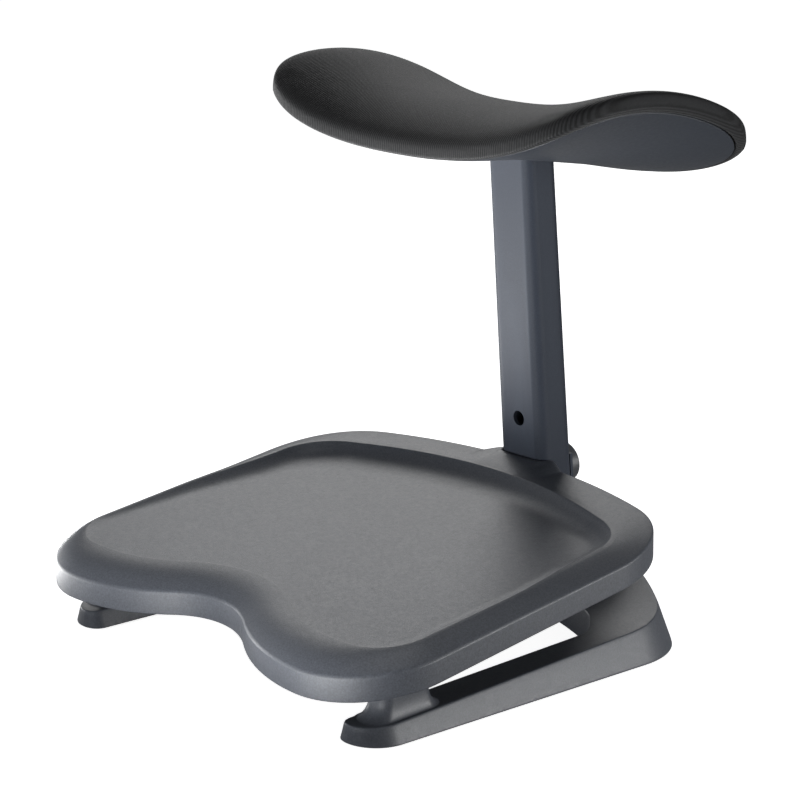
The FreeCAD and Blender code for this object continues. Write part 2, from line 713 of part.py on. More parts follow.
def base_outline(sketch):
    """The base's outline on the floor: two feet, an open bay and a round rear."""
    names = {
        "outer": "Sizes.base_half_width",
        "front": "-Sizes.base_front",
        "corner": "Sizes.block_corner_radius",
        "edge": "Sizes.block_rear_radius",
        "bay": "Sizes.bay_corner_radius",
        "bay_rear": "Sizes.bay_rear",
        "edge_y": "(Sizes.base_rear - Sizes.block_rear_radius)",
        "toe": "Sizes.toe_radius",
        "toe_x": "(Sizes.base_half_width - Sizes.foot_width + Sizes.toe_radius)",
        "bay_x": "(Sizes.bay_half_width - Sizes.bay_corner_radius)",
    }
    size = {name: value(item) for name, item in names.items()}
    corner_x = size["outer"] - size["corner"]
    corner_y = size["edge_y"] + math.sqrt((size["edge"] - size["corner"]) ** 2 - corner_x**2)
    sweep = math.degrees(math.atan2(corner_y - size["edge_y"], corner_x))
    bay_y = size["bay_rear"] - size["bay"]
    toe_y = size["front"] + size["toe"]
    toe = Vector(size["toe_x"], toe_y, 0)
    heel = Vector(size["outer"] - size["toe"], toe_y, 0)
    across = size["bay_x"] - toe.x
    along = bay_y - toe.y
    reach = size["bay"] + size["toe"]
    lean = math.atan2(along, across) + math.acos(reach / math.hypot(across, along))
    inward = Vector(math.cos(lean), math.sin(lean), 0)
    bay_end = Vector(size["bay_x"], bay_y, 0) - inward * size["bay"]
    toe_end = toe + inward * size["toe"]
    toe_front = Vector(toe.x, size["front"], 0)
    heel_front = Vector(heel.x, size["front"], 0)
    heel_side = Vector(size["outer"], toe_y, 0)
    side = Vector(size["outer"], corner_y, 0)
    turn = math.degrees(lean) - 180

    def mirrored(point):
        return Vector(-point.x, point.y, 0)

    shapes = (
        Part.LineSegment(toe_front, heel_front),
        Part.LineSegment(heel_side, side),
        arc(Vector(corner_x, corner_y, 0), size["corner"], 0, sweep),
        arc(Vector(0, size["edge_y"], 0), size["edge"], sweep, 180 - sweep),
        arc(Vector(-corner_x, corner_y, 0), size["corner"], 180 - sweep, 180),
        Part.LineSegment(mirrored(side), mirrored(heel_side)),
        Part.LineSegment(mirrored(heel_front), mirrored(toe_front)),
        Part.LineSegment(mirrored(toe_end), mirrored(bay_end)),
        arc(Vector(-size["bay_x"], bay_y, 0), size["bay"], 90, 180 - turn),
        Part.LineSegment(
            Vector(-size["bay_x"], size["bay_rear"], 0), Vector(size["bay_x"], size["bay_rear"], 0)
        ),
        arc(Vector(size["bay_x"], bay_y, 0), size["bay"], turn, 90),
        Part.LineSegment(bay_end, toe_end),
        arc(heel, size["toe"], 270, 360),
        arc(mirrored(heel), size["toe"], 180, 270),
        arc(toe, size["toe"], math.degrees(lean), 270),
        arc(mirrored(toe), size["toe"], 270, 540 - math.degrees(lean)),
    )
    for shape in shapes:
        sketch.addGeometry(shape)
    for joint in (
        (0, 2, 12, 1),
        (12, 2, 1, 1),
        (5, 2, 13, 1),
        (13, 2, 6, 1),
        (6, 2, 15, 1),
        (15, 2, 7, 1),
        (11, 2, 14, 1),
        (14, 2, 0, 1),
        (1, 2, 2, 1),
        (2, 2, 3, 1),
        (3, 2, 4, 1),
        (4, 2, 5, 1),
        (7, 2, 8, 2),
        (8, 1, 9, 1),
        (9, 2, 10, 2),
        (10, 1, 11, 1),
    ):
        tangent(sketch, *joint)
    for line in (1, 5):
        sketch.addConstraint(Sketcher.Constraint("Vertical", line))
    for line in (0, 6, 9):
        sketch.addConstraint(Sketcher.Constraint("Horizontal", line))
    sketch.addConstraint(Sketcher.Constraint("PointOnObject", 3, 3, -2))
    bind(sketch, "DistanceY", (-1, 1, 3, 3), names["edge_y"])
    for geometry, place in ((0, "front"), (6, "front"), (9, "bay_rear")):
        bind(sketch, "DistanceY", (-1, 1, geometry, 1), names[place])
    for geometry, position, place in ((1, 1, "outer"), (14, 3, "toe_x"), (10, 3, "bay_x")):
        bind(sketch, "DistanceX", (-1, 1, geometry, position), names[place])
    for geometry, position, place in ((5, 1, "outer"), (15, 3, "toe_x"), (8, 3, "bay_x")):
        bind(sketch, "DistanceX", (-1, 1, geometry, position), f"-{names[place]}")
    for geometry, name in ((2, "corner"), (4, "corner"), (3, "edge"), (8, "bay"), (10, "bay")):
        bind(sketch, "Radius", (geometry,), names[name])
    for geometry in (12, 13, 14, 15):
        bind(sketch, "Radius", (geometry,), names["toe"])


def sweep_outline(sketch):
    """What is cut off the base's top: a gentle ramp that sweeps up at the rear."""
    front = "(-2 * Sizes.base_front)"
    slope = "tan(Sizes.runner_rise * 1 deg)"
    level = "(Sizes.base_lift + Sizes.foot_height)"
    ramp = f"({level} + (Sizes.sweep_start + Sizes.base_front) * {slope})"
    start = f"({level} + ({front} + Sizes.base_front) * {slope})"
    far = "(2 * Sizes.base_rear)"
    top = "(Sizes.sweep_radius)"
    radius = value("Sizes.sweep_radius")
    rise = value("Sizes.runner_rise")
    knee = Vector(value("Sizes.sweep_start"), value(ramp), 0)
    turn = math.radians(rise)
    centre = knee + Vector(-math.sin(turn), math.cos(turn), 0) * radius
    finish = centre + Vector(radius, 0, 0)
    sketch.addGeometry(Part.LineSegment(Vector(value(front), value(start), 0), knee))
    sketch.addGeometry(arc(centre, radius, rise - 90, 0))
    corners = [finish, Vector(finish.x, 2 * radius, 0), Vector(value(front), 2 * radius, 0)]
    corners.append(Vector(value(front), value(start), 0))
    for first, second in zip(corners, corners[1:]):
        sketch.addGeometry(Part.LineSegment(first, second))
    locate(sketch, 0, 1, front, start)
    locate(sketch, 0, 2, "Sizes.sweep_start", ramp)
    tangent(sketch, 0, 2, 1, 1)
    bind(sketch, "Radius", (1,), top)
    tangent(sketch, 1, 2, 2, 1)
    sketch.addConstraint(Sketcher.Constraint("Vertical", 2))
    for first, second in ((2, 3), (3, 4), (4, 0)):
        sketch.addConstraint(Sketcher.Constraint("Coincident", first, 2, second, 1))
    sketch.addConstraint(Sketcher.Constraint("Horizontal", 3))
    bind(sketch, "DistanceY", (-1, 1, 3, 1), "2 * Sizes.sweep_radius")
    sketch.addConstraint(Sketcher.Constraint("Vertical", 4))


def foot_pad_places():
    """The middle of each rubber foot on the floor."""
    front = (NECK_X, "-Sizes.neck_middle")
    rear = ("(Sizes.base_half_width - Sizes.block_corner_radius / 2)", "Sizes.foot_pad_rear")
    places = {}
    for end, (x, y) in (("front", front), ("rear", rear)):
        for side, sign in (("left", "-1"), ("right", "1")):
            places[f"foot_pad_{end}_{side}"] = (f"{sign} * {x}", y)
    return places


def make_foot_pad(label, x, y):
    """A rubber foot, let into the base and standing on the floor."""
    body = new_body(label)
    disc = new_sketch(body, "disc")
    circle(disc, x, y, "Sizes.foot_pad_diameter")
    pad(body, disc, "Sizes.base_lift + Sizes.foot_pad_recess")
    return body


def make_sleeve():
    """The steel sleeve in which the post slides."""
    body = new_body("post_socket")
    outer = new_sketch(body, "outer", lifted(POST, "-Sizes.sleeve_bottom"))
    post_section(outer, SLEEVE_OUTSIDE)
    pad(body, outer, "Sizes.sleeve_bottom + Sizes.sleeve_top")
    inner = new_sketch(body, "inner", POST)
    post_section(inner, SLEEVE_INSIDE)
    pocket(body, inner, both=True)
    windows = new_sketch(body, "windows", lifted(POST, "-Sizes.window_drop"))
    for sign in ("-1", "1"):
        rounded_rectangle(
            windows,
            "Sizes.skirt_width",
            "4 * Sizes.skirt_reach",
            "Sizes.post_corner",
            x=f"{sign} * (Sizes.tongue_width + Sizes.skirt_width) / 2",
            y=BEHIND_VISOR,
        )
    pocket(body, windows, reversed_side=True)
    hole = across_sketch(body, "barrel_hole")
    circle(hole, "0", "0", "Sizes.barrel_diameter")
    pocket(body, hole)
    threads = across_sketch(body, "bolt_holes")
    for x, y in socket_bolt_places():
        circle(threads, x, y, "Sizes.bolt_diameter + 2 * Sizes.hole_clearance")
    pocket(body, threads)
    return body


SOCKET_BOLT_SEAT = f"({SLEEVE_REAR} + Sizes.sleeve_wall)"


def socket_bolt_places():
    """Where the sleeve is bolted to the base, seen from the rear of the post."""
    drop = "-Sizes.socket_bolt_drop"
    return [(f"{sign} * Sizes.socket_bolt_spread", drop) for sign in ("-1", "1")]


def across_frame(back):
    """The upright plane that faces the front, this far behind the post's axis."""
    return (
        f"Sizes.lock_y + ({back}) * cos(Sizes.post_lean * 1 deg)",
        f"Sizes.lock_z + ({back}) * sin(Sizes.post_lean * 1 deg)",
        "(90 + Sizes.post_lean)",
    )


def across_sketch(body, name, back="0"):
    """A sketch on an upright plane behind the post's axis, cut towards the rear."""
    return new_sketch(body, name, across_frame(back))


def make_bush(label, top, length, flange):
    """A plastic guide bush between the sleeve and the post."""
    body = new_body(label)
    outer = new_sketch(body, "outer", lifted(POST, f"{top} - {length}"))
    post_section(outer, SLEEVE_INSIDE)
    pad(body, outer, length)
    if flange:
        lip = new_sketch(body, "lip", lifted(POST, top))
        post_section(lip, SLEEVE_OUTSIDE)
        pad(body, lip, "Sizes.bush_flange")
    inner = new_sketch(body, "inner", POST)
    post_section(inner, "2 * Sizes.slide_gap")
    pocket(body, inner, both=True)
    if flange:
        visor_cut(body)
    return body


def make_post():
    """The tapered post tube with its index holes."""
    body = new_body("post_tube")
    foot = new_sketch(body, "foot", lifted(POST, "-Sizes.post_below"))
    post_section(foot, "0")
    pad(body, foot, "Sizes.post_below + Sizes.post_straight")
    low = new_sketch(body, "low", lifted(POST, "Sizes.post_straight"))
    post_section(low, "0")
    high = new_sketch(body, "high", lifted(POST, "Sizes.post_overrun * Sizes.post_above"))
    grow = "Sizes.post_overrun * (Sizes.post_top_width - Sizes.post_width)"
    rounded_rectangle(
        high,
        f"Sizes.post_width + {grow}",
        "Sizes.post_depth + Sizes.post_overrun * (Sizes.post_top_depth - Sizes.post_depth)",
        f"Sizes.post_corner + ({grow}) / 4",
    )
    loft(body, [low, high])
    bore = new_sketch(body, "bore", POST)
    bore_section(bore, "0")
    pocket(body, bore, both=True)
    top = new_sketch(body, "top", SEAT)
    rounded_rectangle(
        top, "2 * Sizes.post_width", "2 * Sizes.post_depth", "Sizes.post_corner"
    )
    pocket(body, top, reversed_side=True)
    index = across_sketch(body, "index_holes")
    for row in ("0", "Sizes.index_pitch"):
        circle(index, "0", row, "Sizes.index_hole")
    pocket(body, index, both=True)
    return body


def bore_section(sketch, grow):
    """The inside of the post, which fits its narrow top end."""
    rounded_rectangle(
        sketch,
        f"Sizes.post_top_width - 2 * Sizes.post_wall + {grow}",
        f"Sizes.post_top_depth - 2 * Sizes.post_wall + {grow}",
        "Sizes.post_corner - Sizes.post_wall",
    )


def make_plug():
    """The glide that closes the post's lower end."""
    body = new_body("post_foot_plug")
    cap = new_sketch(body, "cap", lifted(POST, "-Sizes.post_below"))
    post_section(cap, "0")
    pad(body, cap, "Sizes.plug_thickness", reversed_side=True)
    spigot = new_sketch(body, "spigot", lifted(POST, "-Sizes.post_below"))
    bore_section(spigot, "-2 * Sizes.seat_gap")
    pad(body, spigot, "Sizes.plug_spigot")
    return body


def turned_part(label, outline):
    """A part turned about the lock's axis; its outline is (radius, reach) pairs."""
    body = new_body(label)
    sketch = new_sketch(body, "outline")
    polygon(sketch, outline)
    revolve(body, sketch)
    body.Placement = Placement(
        Vector(0, value("Sizes.lock_y"), value("Sizes.lock_z")),
        Rotation(Vector(1, 0, 0), value("Sizes.post_lean")),
    )
    return body


INSIDE_SLEEVE = f"((Sizes.post_depth + {SLEEVE_INSIDE}) / 2)"
PIN_REST = "(Sizes.post_depth / 2 + Sizes.slide_gap)"


def make_barrel():
    """The barrel in the sleeve's rear wall, which guides the lock pin."""
    bore = "Sizes.pin_diameter / 2 + Sizes.pin_fit"
    return turned_part(
        "lock_barrel",
        (
            (bore, INSIDE_SLEEVE),
            ("Sizes.barrel_diameter / 2", INSIDE_SLEEVE),
            ("Sizes.barrel_diameter / 2", "Sizes.barrel_end"),
            (bore, "Sizes.barrel_end"),
        ),
    )


def make_pin():
    """The lock pin, drawn back clear of the post, with its threaded tail."""
    tip = "Sizes.pin_tip"
    body = turned_part(
        "lock_pin",
        (
            ("0", PIN_REST),
            (f"Sizes.pin_diameter / 2 - {tip}", PIN_REST),
            ("Sizes.pin_diameter / 2", f"{PIN_REST} + {tip}"),
            ("Sizes.pin_diameter / 2", "Sizes.barrel_end"),
            ("Sizes.pin_tail_diameter / 2", "Sizes.barrel_end"),
            ("Sizes.pin_tail_diameter / 2", "Sizes.pin_tail_end"),
            ("0", "Sizes.pin_tail_end"),
        ),
    )
    return body


def make_knob():
    """The ribbed lock knob, which turns on the barrel and drives the pin."""
    bore = "Sizes.barrel_diameter / 2 + Sizes.pin_fit"
    thread = "Sizes.pin_tail_diameter / 2 + Sizes.pin_fit"
    rim = "Sizes.knob_diameter / 2"
    recess = "Sizes.knob_recess / 2"
    body = turned_part(
        "lock_knob",
        (
            (bore, "Sizes.knob_front"),
            (f"{rim} - 1", "Sizes.knob_front"),
            (rim, "Sizes.knob_front + 1"),
            (rim, "Sizes.knob_rear - 1"),
            (f"{rim} - 1", "Sizes.knob_rear"),
            (recess, "Sizes.knob_rear"),
            (recess, "Sizes.knob_core_rear"),
            (thread, "Sizes.knob_core_rear"),
            (thread, "Sizes.knob_core_front"),
            (bore, "Sizes.knob_core_front"),
        ),
    )
    groove = new_sketch(body, "groove", role="XZ_Plane")
    groove.setExpression("AttachmentOffset.Base.z", "-(Sizes.knob_rear - Sizes.knob_bead)")
    pitch = f"(pi * Sizes.knob_diameter / Sizes.knob_ribs)"
    floor = f"({rim} - Sizes.knob_rib_depth)"
    beyond = f"({rim} + Sizes.knob_rib_depth)"
    polygon(
        groove,
        (
            (floor, f"-{pitch} / 8"),
            (beyond, f"-{pitch} * 3 / 8"),
            (beyond, f"{pitch} * 3 / 8"),
            (floor, f"{pitch} / 8"),
        ),
    )
    cut = pocket(body, groove, "Sizes.knob_rear - Sizes.knob_front")
    ring = body.newObject("PartDesign::PolarPattern", "knob_ribs")
    ring.Originals = [cut]
    ring.Axis = (next(i for i in body.Origin.OriginFeatures if i.Role == "Y_Axis"), [""])
    ring.Angle = 360
    ring.setExpression("Occurrences", "Sizes.knob_ribs")
    body.Tip = ring
    document.recompute()
    return body


def make_knob_cap():
    """The cap that closes the knob's recess over the end of the pin."""
    edge = "Sizes.knob_recess / 2 - Sizes.seat_gap"
    return turned_part(
        "knob_cap",
        (
            ("0", "Sizes.knob_rear - Sizes.knob_cap_thickness"),
            (edge, "Sizes.knob_rear - Sizes.knob_cap_thickness"),
            (edge, "Sizes.knob_rear"),
            ("0", "Sizes.knob_rear + Sizes.knob_cap_thickness / 2"),
        ),
    )


def squircle_share(x, y):
    """How far a point of the pad lies from its middle, 1 at the pad's edge."""
    power = value("Sizes.pad_corner_power")
    across = abs(x) / value("Sizes.pad_half_width")
    along = abs(y) / value("Sizes.pad_half_depth")
    return (across**power + along**power) ** (1 / power)


def pad_middle(x, y):
    """The saddle that the pad is built on: ends raised, front and rear rolled down."""
    rise = abs(x / value("Sizes.pad_half_width")) ** value("Sizes.pad_rise_power")
    roll = (y / value("Sizes.pad_half_depth")) ** 2
    return (
        value("Sizes.pad_middle_z")
        + value("Sizes.pad_rise") * rise
        + value("Sizes.pad_slope") * y
        + value("Sizes.pad_crown") * roll
    )


def swell(share, power):
    """A rounded profile: 1 in the middle of the pad, 0 at its edge."""
    return max(0.0, 1.0 - min(share, 1.0) ** power) ** (1 / power)


def pad_top(x, y):
    share = squircle_share(x, y)
    return value("Sizes.pad_top_height") * swell(share, value("Sizes.pad_top_power"))


def pad_bottom(x, y):
    share = squircle_share(x, y)
    return -value("Sizes.pad_belly") * swell(share, value("Sizes.pad_belly_power"))


def pad_layer(inset, upper, lower):
    """A layer of the pad between two heights over the saddle, lofted across X."""
    half_width = value("Sizes.pad_half_width") - inset
    half_depth = value("Sizes.pad_half_depth") - inset
    power = value("Sizes.pad_corner_power")
    steps = 7
    columns = 7
    end_share = 0.994
    sections = []
    for step in range(-steps, steps + 1):
        x = half_width * end_share * math.sin(math.pi / 2 * step / steps)
        reach = half_depth * (1 - abs(x / half_width) ** power) ** (1 / power)
        rows = [
            reach * math.sin(math.pi / 2 * column / columns)
            for column in range(-columns, columns + 1)
        ]
        curves = []
        for height in (upper, lower):
            curve = Part.BSplineCurve()
            curve.interpolate([Vector(x, y, pad_middle(x, y) + height(x, y)) for y in rows])
            curves.append(curve.toShape())
        ends = [
            Part.makeLine(curves[0].Vertexes[end].Point, curves[1].Vertexes[end].Point)
            for end in (0, -1)
        ]
        sections.append(Part.Wire([ends[0], curves[1], ends[1], curves[0]]))
    solid = Part.makeLoft(sections, True, False)
    solid.translate(Vector(0, value("Sizes.pad_middle_y"), 0))
    return solid


def layer_feature(label, shape):
    feature = document.addObject("Part::Feature", label)
    feature.Label = label
    feature.Shape = shape
    return feature


def make_pad():
    """The calf pad: moulded under-shell, board, foam and fabric cover."""
    gap = value("Sizes.layer_gap")
    drop = value("Sizes.seam_drop")
    fabric = value("Sizes.fabric_thickness")
    board_low = fabric + gap - drop
    board_top = board_low + value("Sizes.board_thickness")
    edge = value("Sizes.layer_gap")
    outside = pad_layer(
        0, lambda x, y: pad_top(x, y) + edge, lambda x, y: max(pad_bottom(x, y), -drop) - edge
    )
    inside = pad_layer(
        fabric + gap,
        lambda x, y: max(pad_top(x, y) - fabric, board_top + 2 * gap),
        lambda x, y: board_low - gap,
    )
    mouth = pad_layer(
        value("Sizes.shell_inset") - gap,
        lambda x, y: board_top,
        lambda x, y: -2 * drop,
    )
    layer_feature("pad_cover", outside.cut(inside.fuse(mouth)))
    foam_inset = fabric + 2 * gap
    foam = pad_layer(
        foam_inset,
        lambda x, y: max(pad_top(x, y) - fabric - gap, board_top + gap + edge),
        lambda x, y: board_top + gap,
    )
    layer_feature("pad_foam", foam)
    board = pad_layer(
        value("Sizes.board_inset"), lambda x, y: board_top, lambda x, y: board_low
    )
    layer_feature("pad_board", board)
    shell = pad_layer(
        value("Sizes.shell_inset"),
        lambda x, y: board_low - gap,
        lambda x, y: min(pad_bottom(x, y), -drop - 2 * edge),
    )
    layer_feature("pad_shell", shell.cut(bracket_space()))


def bracket_space():
    """The room in the under-shell for the bracket and the post's top end."""
    gap = value("Sizes.seat_gap")
    width = value("Sizes.bracket_width") + 2 * gap
    depth = value("Sizes.bracket_depth") + 2 * gap
    corner = value("Sizes.bracket_corner")
    room = prism(width, depth, corner, value("Sizes.pad_belly"))
    room.Placement = frame_placement(SEAT)
    spare = gap + value("Sizes.post_width - Sizes.post_top_width") / 8
    post = prism(
        value("Sizes.post_top_width") + 2 * spare,
        value("Sizes.post_top_depth") + 2 * spare,
        value("Sizes.post_corner + (Sizes.post_top_width - Sizes.post_width) / 4"),
        2 * value("Sizes.pad_belly"),
    )
    post.Placement = frame_placement(lifted(POST, "Sizes.post_above - Sizes.pad_belly"))
    hole = value("Sizes.bolt_diameter / 2 + Sizes.hole_clearance")
    depth = value("Sizes.bracket_bolt_depth") + gap
    holes = []
    for x, y in bracket_bolt_places():
        cylinder = Part.makeCylinder(hole, depth, Vector(value(x), value(y), -depth))
        cylinder.Placement = frame_placement(SEAT)
        holes.append(cylinder)
    return room.multiFuse([post] + holes)


def prism(width, depth, corner, height):
    """A block with round upright corners, standing on its own plane."""
    block = Part.makeBox(width, depth, height, Vector(-width / 2, -depth / 2, 0))
    upright = [
        edge for edge in block.Edges if abs(edge.tangentAt(edge.FirstParameter).z) > 0.5
    ]
    return block.makeFillet(corner, upright)


def bracket_bolt_places():
    x = "(Sizes.bracket_width / 2 - Sizes.bolt_head)"
    y = "(Sizes.bracket_depth / 2 - Sizes.bolt_head)"
    return [(f"{sx} * {x}", f"{sy} * {y}") for sx in ("-1", "1") for sy in ("-1", "1")]


def make_bracket():
    """The bracket that joins the post's top end to the pad."""
    body = new_body("pad_bracket")
    plate = new_sketch(body, "plate", SEAT)
    rounded_rectangle(
        plate, "Sizes.bracket_width", "Sizes.bracket_depth", "Sizes.bracket_corner"
    )
    pad(body, plate, "Sizes.bracket_thickness")
    plug_end = "Sizes.post_above - Sizes.bracket_plug_length"
    plug = new_sketch(body, "plug", lifted(POST, plug_end))
    bore_section(plug, "-2 * Sizes.seat_gap")
    pad(body, plug, "Sizes.bracket_plug_length + Sizes.bracket_thickness / 2")
    holes = new_sketch(body, "holes", SEAT)
    for x, y in bracket_bolt_places():
        circle(holes, x, y, "Sizes.bolt_diameter + 2 * Sizes.hole_clearance")
    pocket(body, holes, reversed_side=True)
    return body


make_base()
for foot_label, (foot_x, foot_y) in foot_pad_places().items():
    make_foot_pad(foot_label, foot_x, foot_y)
make_tray()
make_tray_plate()
make_sleeve()
make_bush("socket_upper_bush", "Sizes.sleeve_top", "Sizes.upper_bush_length", True)
make_bush("socket_lower_bush", "-Sizes.lower_bush_top", "Sizes.lower_bush_length", False)
make_post()
make_plug()
make_barrel()
make_pin()
make_knob()
make_knob_cap()
make_pad()
make_bracket()
fastener_group(
    "tray_screws",
    lifted(UNDER, "Sizes.screw_head_height"),
    tray_screw_places(),
    "Sizes.cavity_depth - Sizes.screw_head_height - Sizes.seat_gap",
    kind="screw",
)
fastener_group(
    "base_bolts",
    lifted(UNDER, "-Sizes.bolt_depth"),
    tray_bolt_places(),
    "Sizes.bolt_depth + Sizes.cavity_depth - Sizes.seat_gap",
)
fastener_group(
    "socket_bolts",
    across_frame(SOCKET_BOLT_SEAT),
    socket_bolt_places(),
    f"{SOCKET_BOLT_SEAT} - {INSIDE_SLEEVE}",
)
fastener_group(
    "pad_bracket_bolts",
    lifted(SEAT, "Sizes.bracket_thickness"),
    bracket_bolt_places(),
    "Sizes.bracket_thickness + Sizes.bracket_bolt_depth",
    turn=180,
)
document.recompute()

# Every object must have built, and every sub-part must be a sound solid
subparts = [
    item
    for item in document.Objects
    if item.TypeId in ("PartDesign::Body", "Part::Feature")
]
for item in document.Objects:
    if "Invalid" in item.State or "Error" in item.State:
        raise RuntimeError(f"{item.Name} did not build: {item.State}")
for item in subparts:
    if item.Shape.isNull() or not item.Shape.isValid():
        raise RuntimeError(f"{item.Label} is not a sound solid")

# The origin is on the floor under the middle of the whole
whole = Part.makeCompound([item.Shape for item in subparts])
box = whole.optimalBoundingBox(False)
middle = Vector(0, -(box.YMin + box.YMax) / 2, 0)
for item in subparts:
    item.Placement = Placement(middle, Rotation()).multiply(item.Placement)

os.makedirs("parts", exist_ok=True)
for item in subparts:
    item.Shape.exportStep(f"parts/{item.Label}.step")
    print(item.Label, len(item.Shape.Solids), round(item.Shape.Volume))
print("moved along Y by", middle.y, "from", box)
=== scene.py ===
"""Looks of a footrest: foot tray on a U-shaped base, calf pad on a post with a lock knob."""
import json
import math

import bmesh
import bpy
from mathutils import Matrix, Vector


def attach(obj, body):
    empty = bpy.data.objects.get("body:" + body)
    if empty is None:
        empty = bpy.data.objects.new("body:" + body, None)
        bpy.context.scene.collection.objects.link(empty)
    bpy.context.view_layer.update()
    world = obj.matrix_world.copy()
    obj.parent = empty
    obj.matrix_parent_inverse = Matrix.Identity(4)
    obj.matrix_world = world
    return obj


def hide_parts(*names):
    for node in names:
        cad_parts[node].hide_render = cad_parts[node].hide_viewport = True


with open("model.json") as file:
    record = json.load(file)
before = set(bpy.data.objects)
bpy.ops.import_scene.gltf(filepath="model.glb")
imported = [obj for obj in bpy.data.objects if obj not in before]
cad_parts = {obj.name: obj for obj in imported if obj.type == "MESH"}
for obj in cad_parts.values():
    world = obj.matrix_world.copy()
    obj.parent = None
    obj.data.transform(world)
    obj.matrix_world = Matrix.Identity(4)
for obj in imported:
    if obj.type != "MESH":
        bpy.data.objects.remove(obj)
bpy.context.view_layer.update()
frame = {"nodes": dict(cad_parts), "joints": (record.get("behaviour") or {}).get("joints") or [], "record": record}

MM = 0.001

# Places shared with the construction, in millimetres
lock_point = next(j for j in frame["joints"] if j["name"] == "knob_turn")["pos_m"]
LOCK_Y = 179.3
LOCK_Z = 97.5
SHIFT_Y = lock_point[1] / MM - LOCK_Y
POST_LEAN = math.radians(4.76)
TRAY_HEIGHT = 81.0
TRAY_TILT = math.radians(8.88)
BAND_HEIGHT = 18.1


def place(x, y, z):
    """A point of the construction in metres, in the shared frame."""
    return Vector((x * MM, (y + SHIFT_Y) * MM, z * MM))


def tray_place(x, y, height, drop=0.0):
    """A point over the tray's tilted plane, then moved straight down."""
    along = y * math.cos(TRAY_TILT) - height * math.sin(TRAY_TILT)
    up = y * math.sin(TRAY_TILT) + height * math.cos(TRAY_TILT)
    return place(x, along, TRAY_HEIGHT + up - drop)


def post_place(x, y, height):
    """A point in the leaning frame of the post, from the lock point."""
    along = y * math.cos(POST_LEAN) - height * math.sin(POST_LEAN)
    up = y * math.sin(POST_LEAN) + height * math.cos(POST_LEAN)
    return place(x, LOCK_Y + along, LOCK_Z + up)


def smooth_step(share):
    share = min(max(share, 0.0), 1.0)
    return share * share * (3 - 2 * share)


def mix(first, second, share):
    return first + (second - first) * share


# Mesh helpers
def ring_faces(rings, count, closed=True):
    """Quads between rings that follow one another in the point list."""
    faces = []
    span = count if closed else count - 1
    for ring in range(rings - 1):
        for step in range(span):
            after = (step + 1) % count
            faces.append(
                (
                    ring * count + step,
                    ring * count + after,
                    (ring + 1) * count + after,
                    (ring + 1) * count + step,
                )
            )
    return faces


def make_piece(name, points, faces, material, body, weighted=True):
    """A smooth-shaded mesh piece that rides with one body."""
    mesh = bpy.data.meshes.new(name)
    mesh.from_pydata(points, [], faces)
    shape = bmesh.new()
    shape.from_mesh(mesh)
    bmesh.ops.remove_doubles(shape, verts=shape.verts, dist=1e-6)
    bmesh.ops.recalc_face_normals(shape, faces=shape.faces)
    shape.to_mesh(mesh)
    shape.free()
    for face in mesh.polygons:
        face.use_smooth = True
    mesh.materials.append(material)
    piece = bpy.data.objects.new(name, mesh)
    bpy.context.scene.collection.objects.link(piece)
    if weighted:
        normals = piece.modifiers.new("normals", "WEIGHTED_NORMAL")
        normals.keep_sharp = True
    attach(piece, body)
    return piece


def arc_points(centre, radius, start, end, count):
    """Points along an arc, without its last one."""
    points = []
    for step in range(count):
        angle = math.radians(mix(start, end, step / count))
        points.append(
            Vector((centre[0] + radius * math.cos(angle), centre[1] + radius * math.sin(angle)))
        )
    return points


def line_points(start, end, count):
    """Points along a line, without its last one."""
    return [Vector(start).lerp(Vector(end), step / count) for step in range(count)]


def inward_normals(points):
    """Unit normals that point to the left of a closed path."""
    normals = []
    for index in range(len(points)):
        ahead = points[(index + 1) % len(points)]
        behind = points[index - 1]
        run = (ahead - behind).normalized()
        normals.append(Vector((-run.y, run.x)))
    return normals


# Materials
def new_material(name):
    material = bpy.data.materials.new(name)
    material.use_nodes = True
    tree = material.node_tree
    return material, tree.nodes, tree.links, tree.nodes["Principled BSDF"]


def noise(nodes, links, space, scale, detail=2.0, roughness=0.5):
    texture = nodes.new("ShaderNodeTexNoise")
    texture.inputs["Scale"].default_value = scale
    texture.inputs["Detail"].default_value = detail
    texture.inputs["Roughness"].default_value = roughness
    links.new(space, texture.inputs["Vector"])
    return texture.outputs["Fac"]


def ramp(nodes, links, source, stops):
    """A colour ramp with stops as (place, linear colour)."""
    node = nodes.new("ShaderNodeValToRGB")
    links.new(source, node.inputs["Fac"])
    elements = node.color_ramp.elements
    while len(elements) < len(stops):
        elements.new(0.5)
    for element, (spot, colour) in zip(elements, stops):
        element.position = spot
        element.color = (*colour, 1.0)
    return node.outputs["Color"]


def spread(nodes, links, source, low, high):
    """A noise value spread over a range."""
    node = nodes.new("ShaderNodeMapRange")
    node.inputs["From Min"].default_value = 0.3
    node.inputs["From Max"].default_value = 0.7
    node.inputs["To Min"].default_value = low
    node.inputs["To Max"].default_value = high
    links.new(source, node.inputs["Value"])
    return node.outputs["Result"]


def bump(nodes, links, shader, height, strength, distance):
    node = nodes.new("ShaderNodeBump")
    node.inputs["Strength"].default_value = strength
    node.inputs["Distance"].default_value = distance
    links.new(height, node.inputs["Height"])
    links.new(node.outputs["Normal"], shader.inputs["Normal"])


def tinted(colour, factor):
    return tuple(channel * factor for channel in colour)


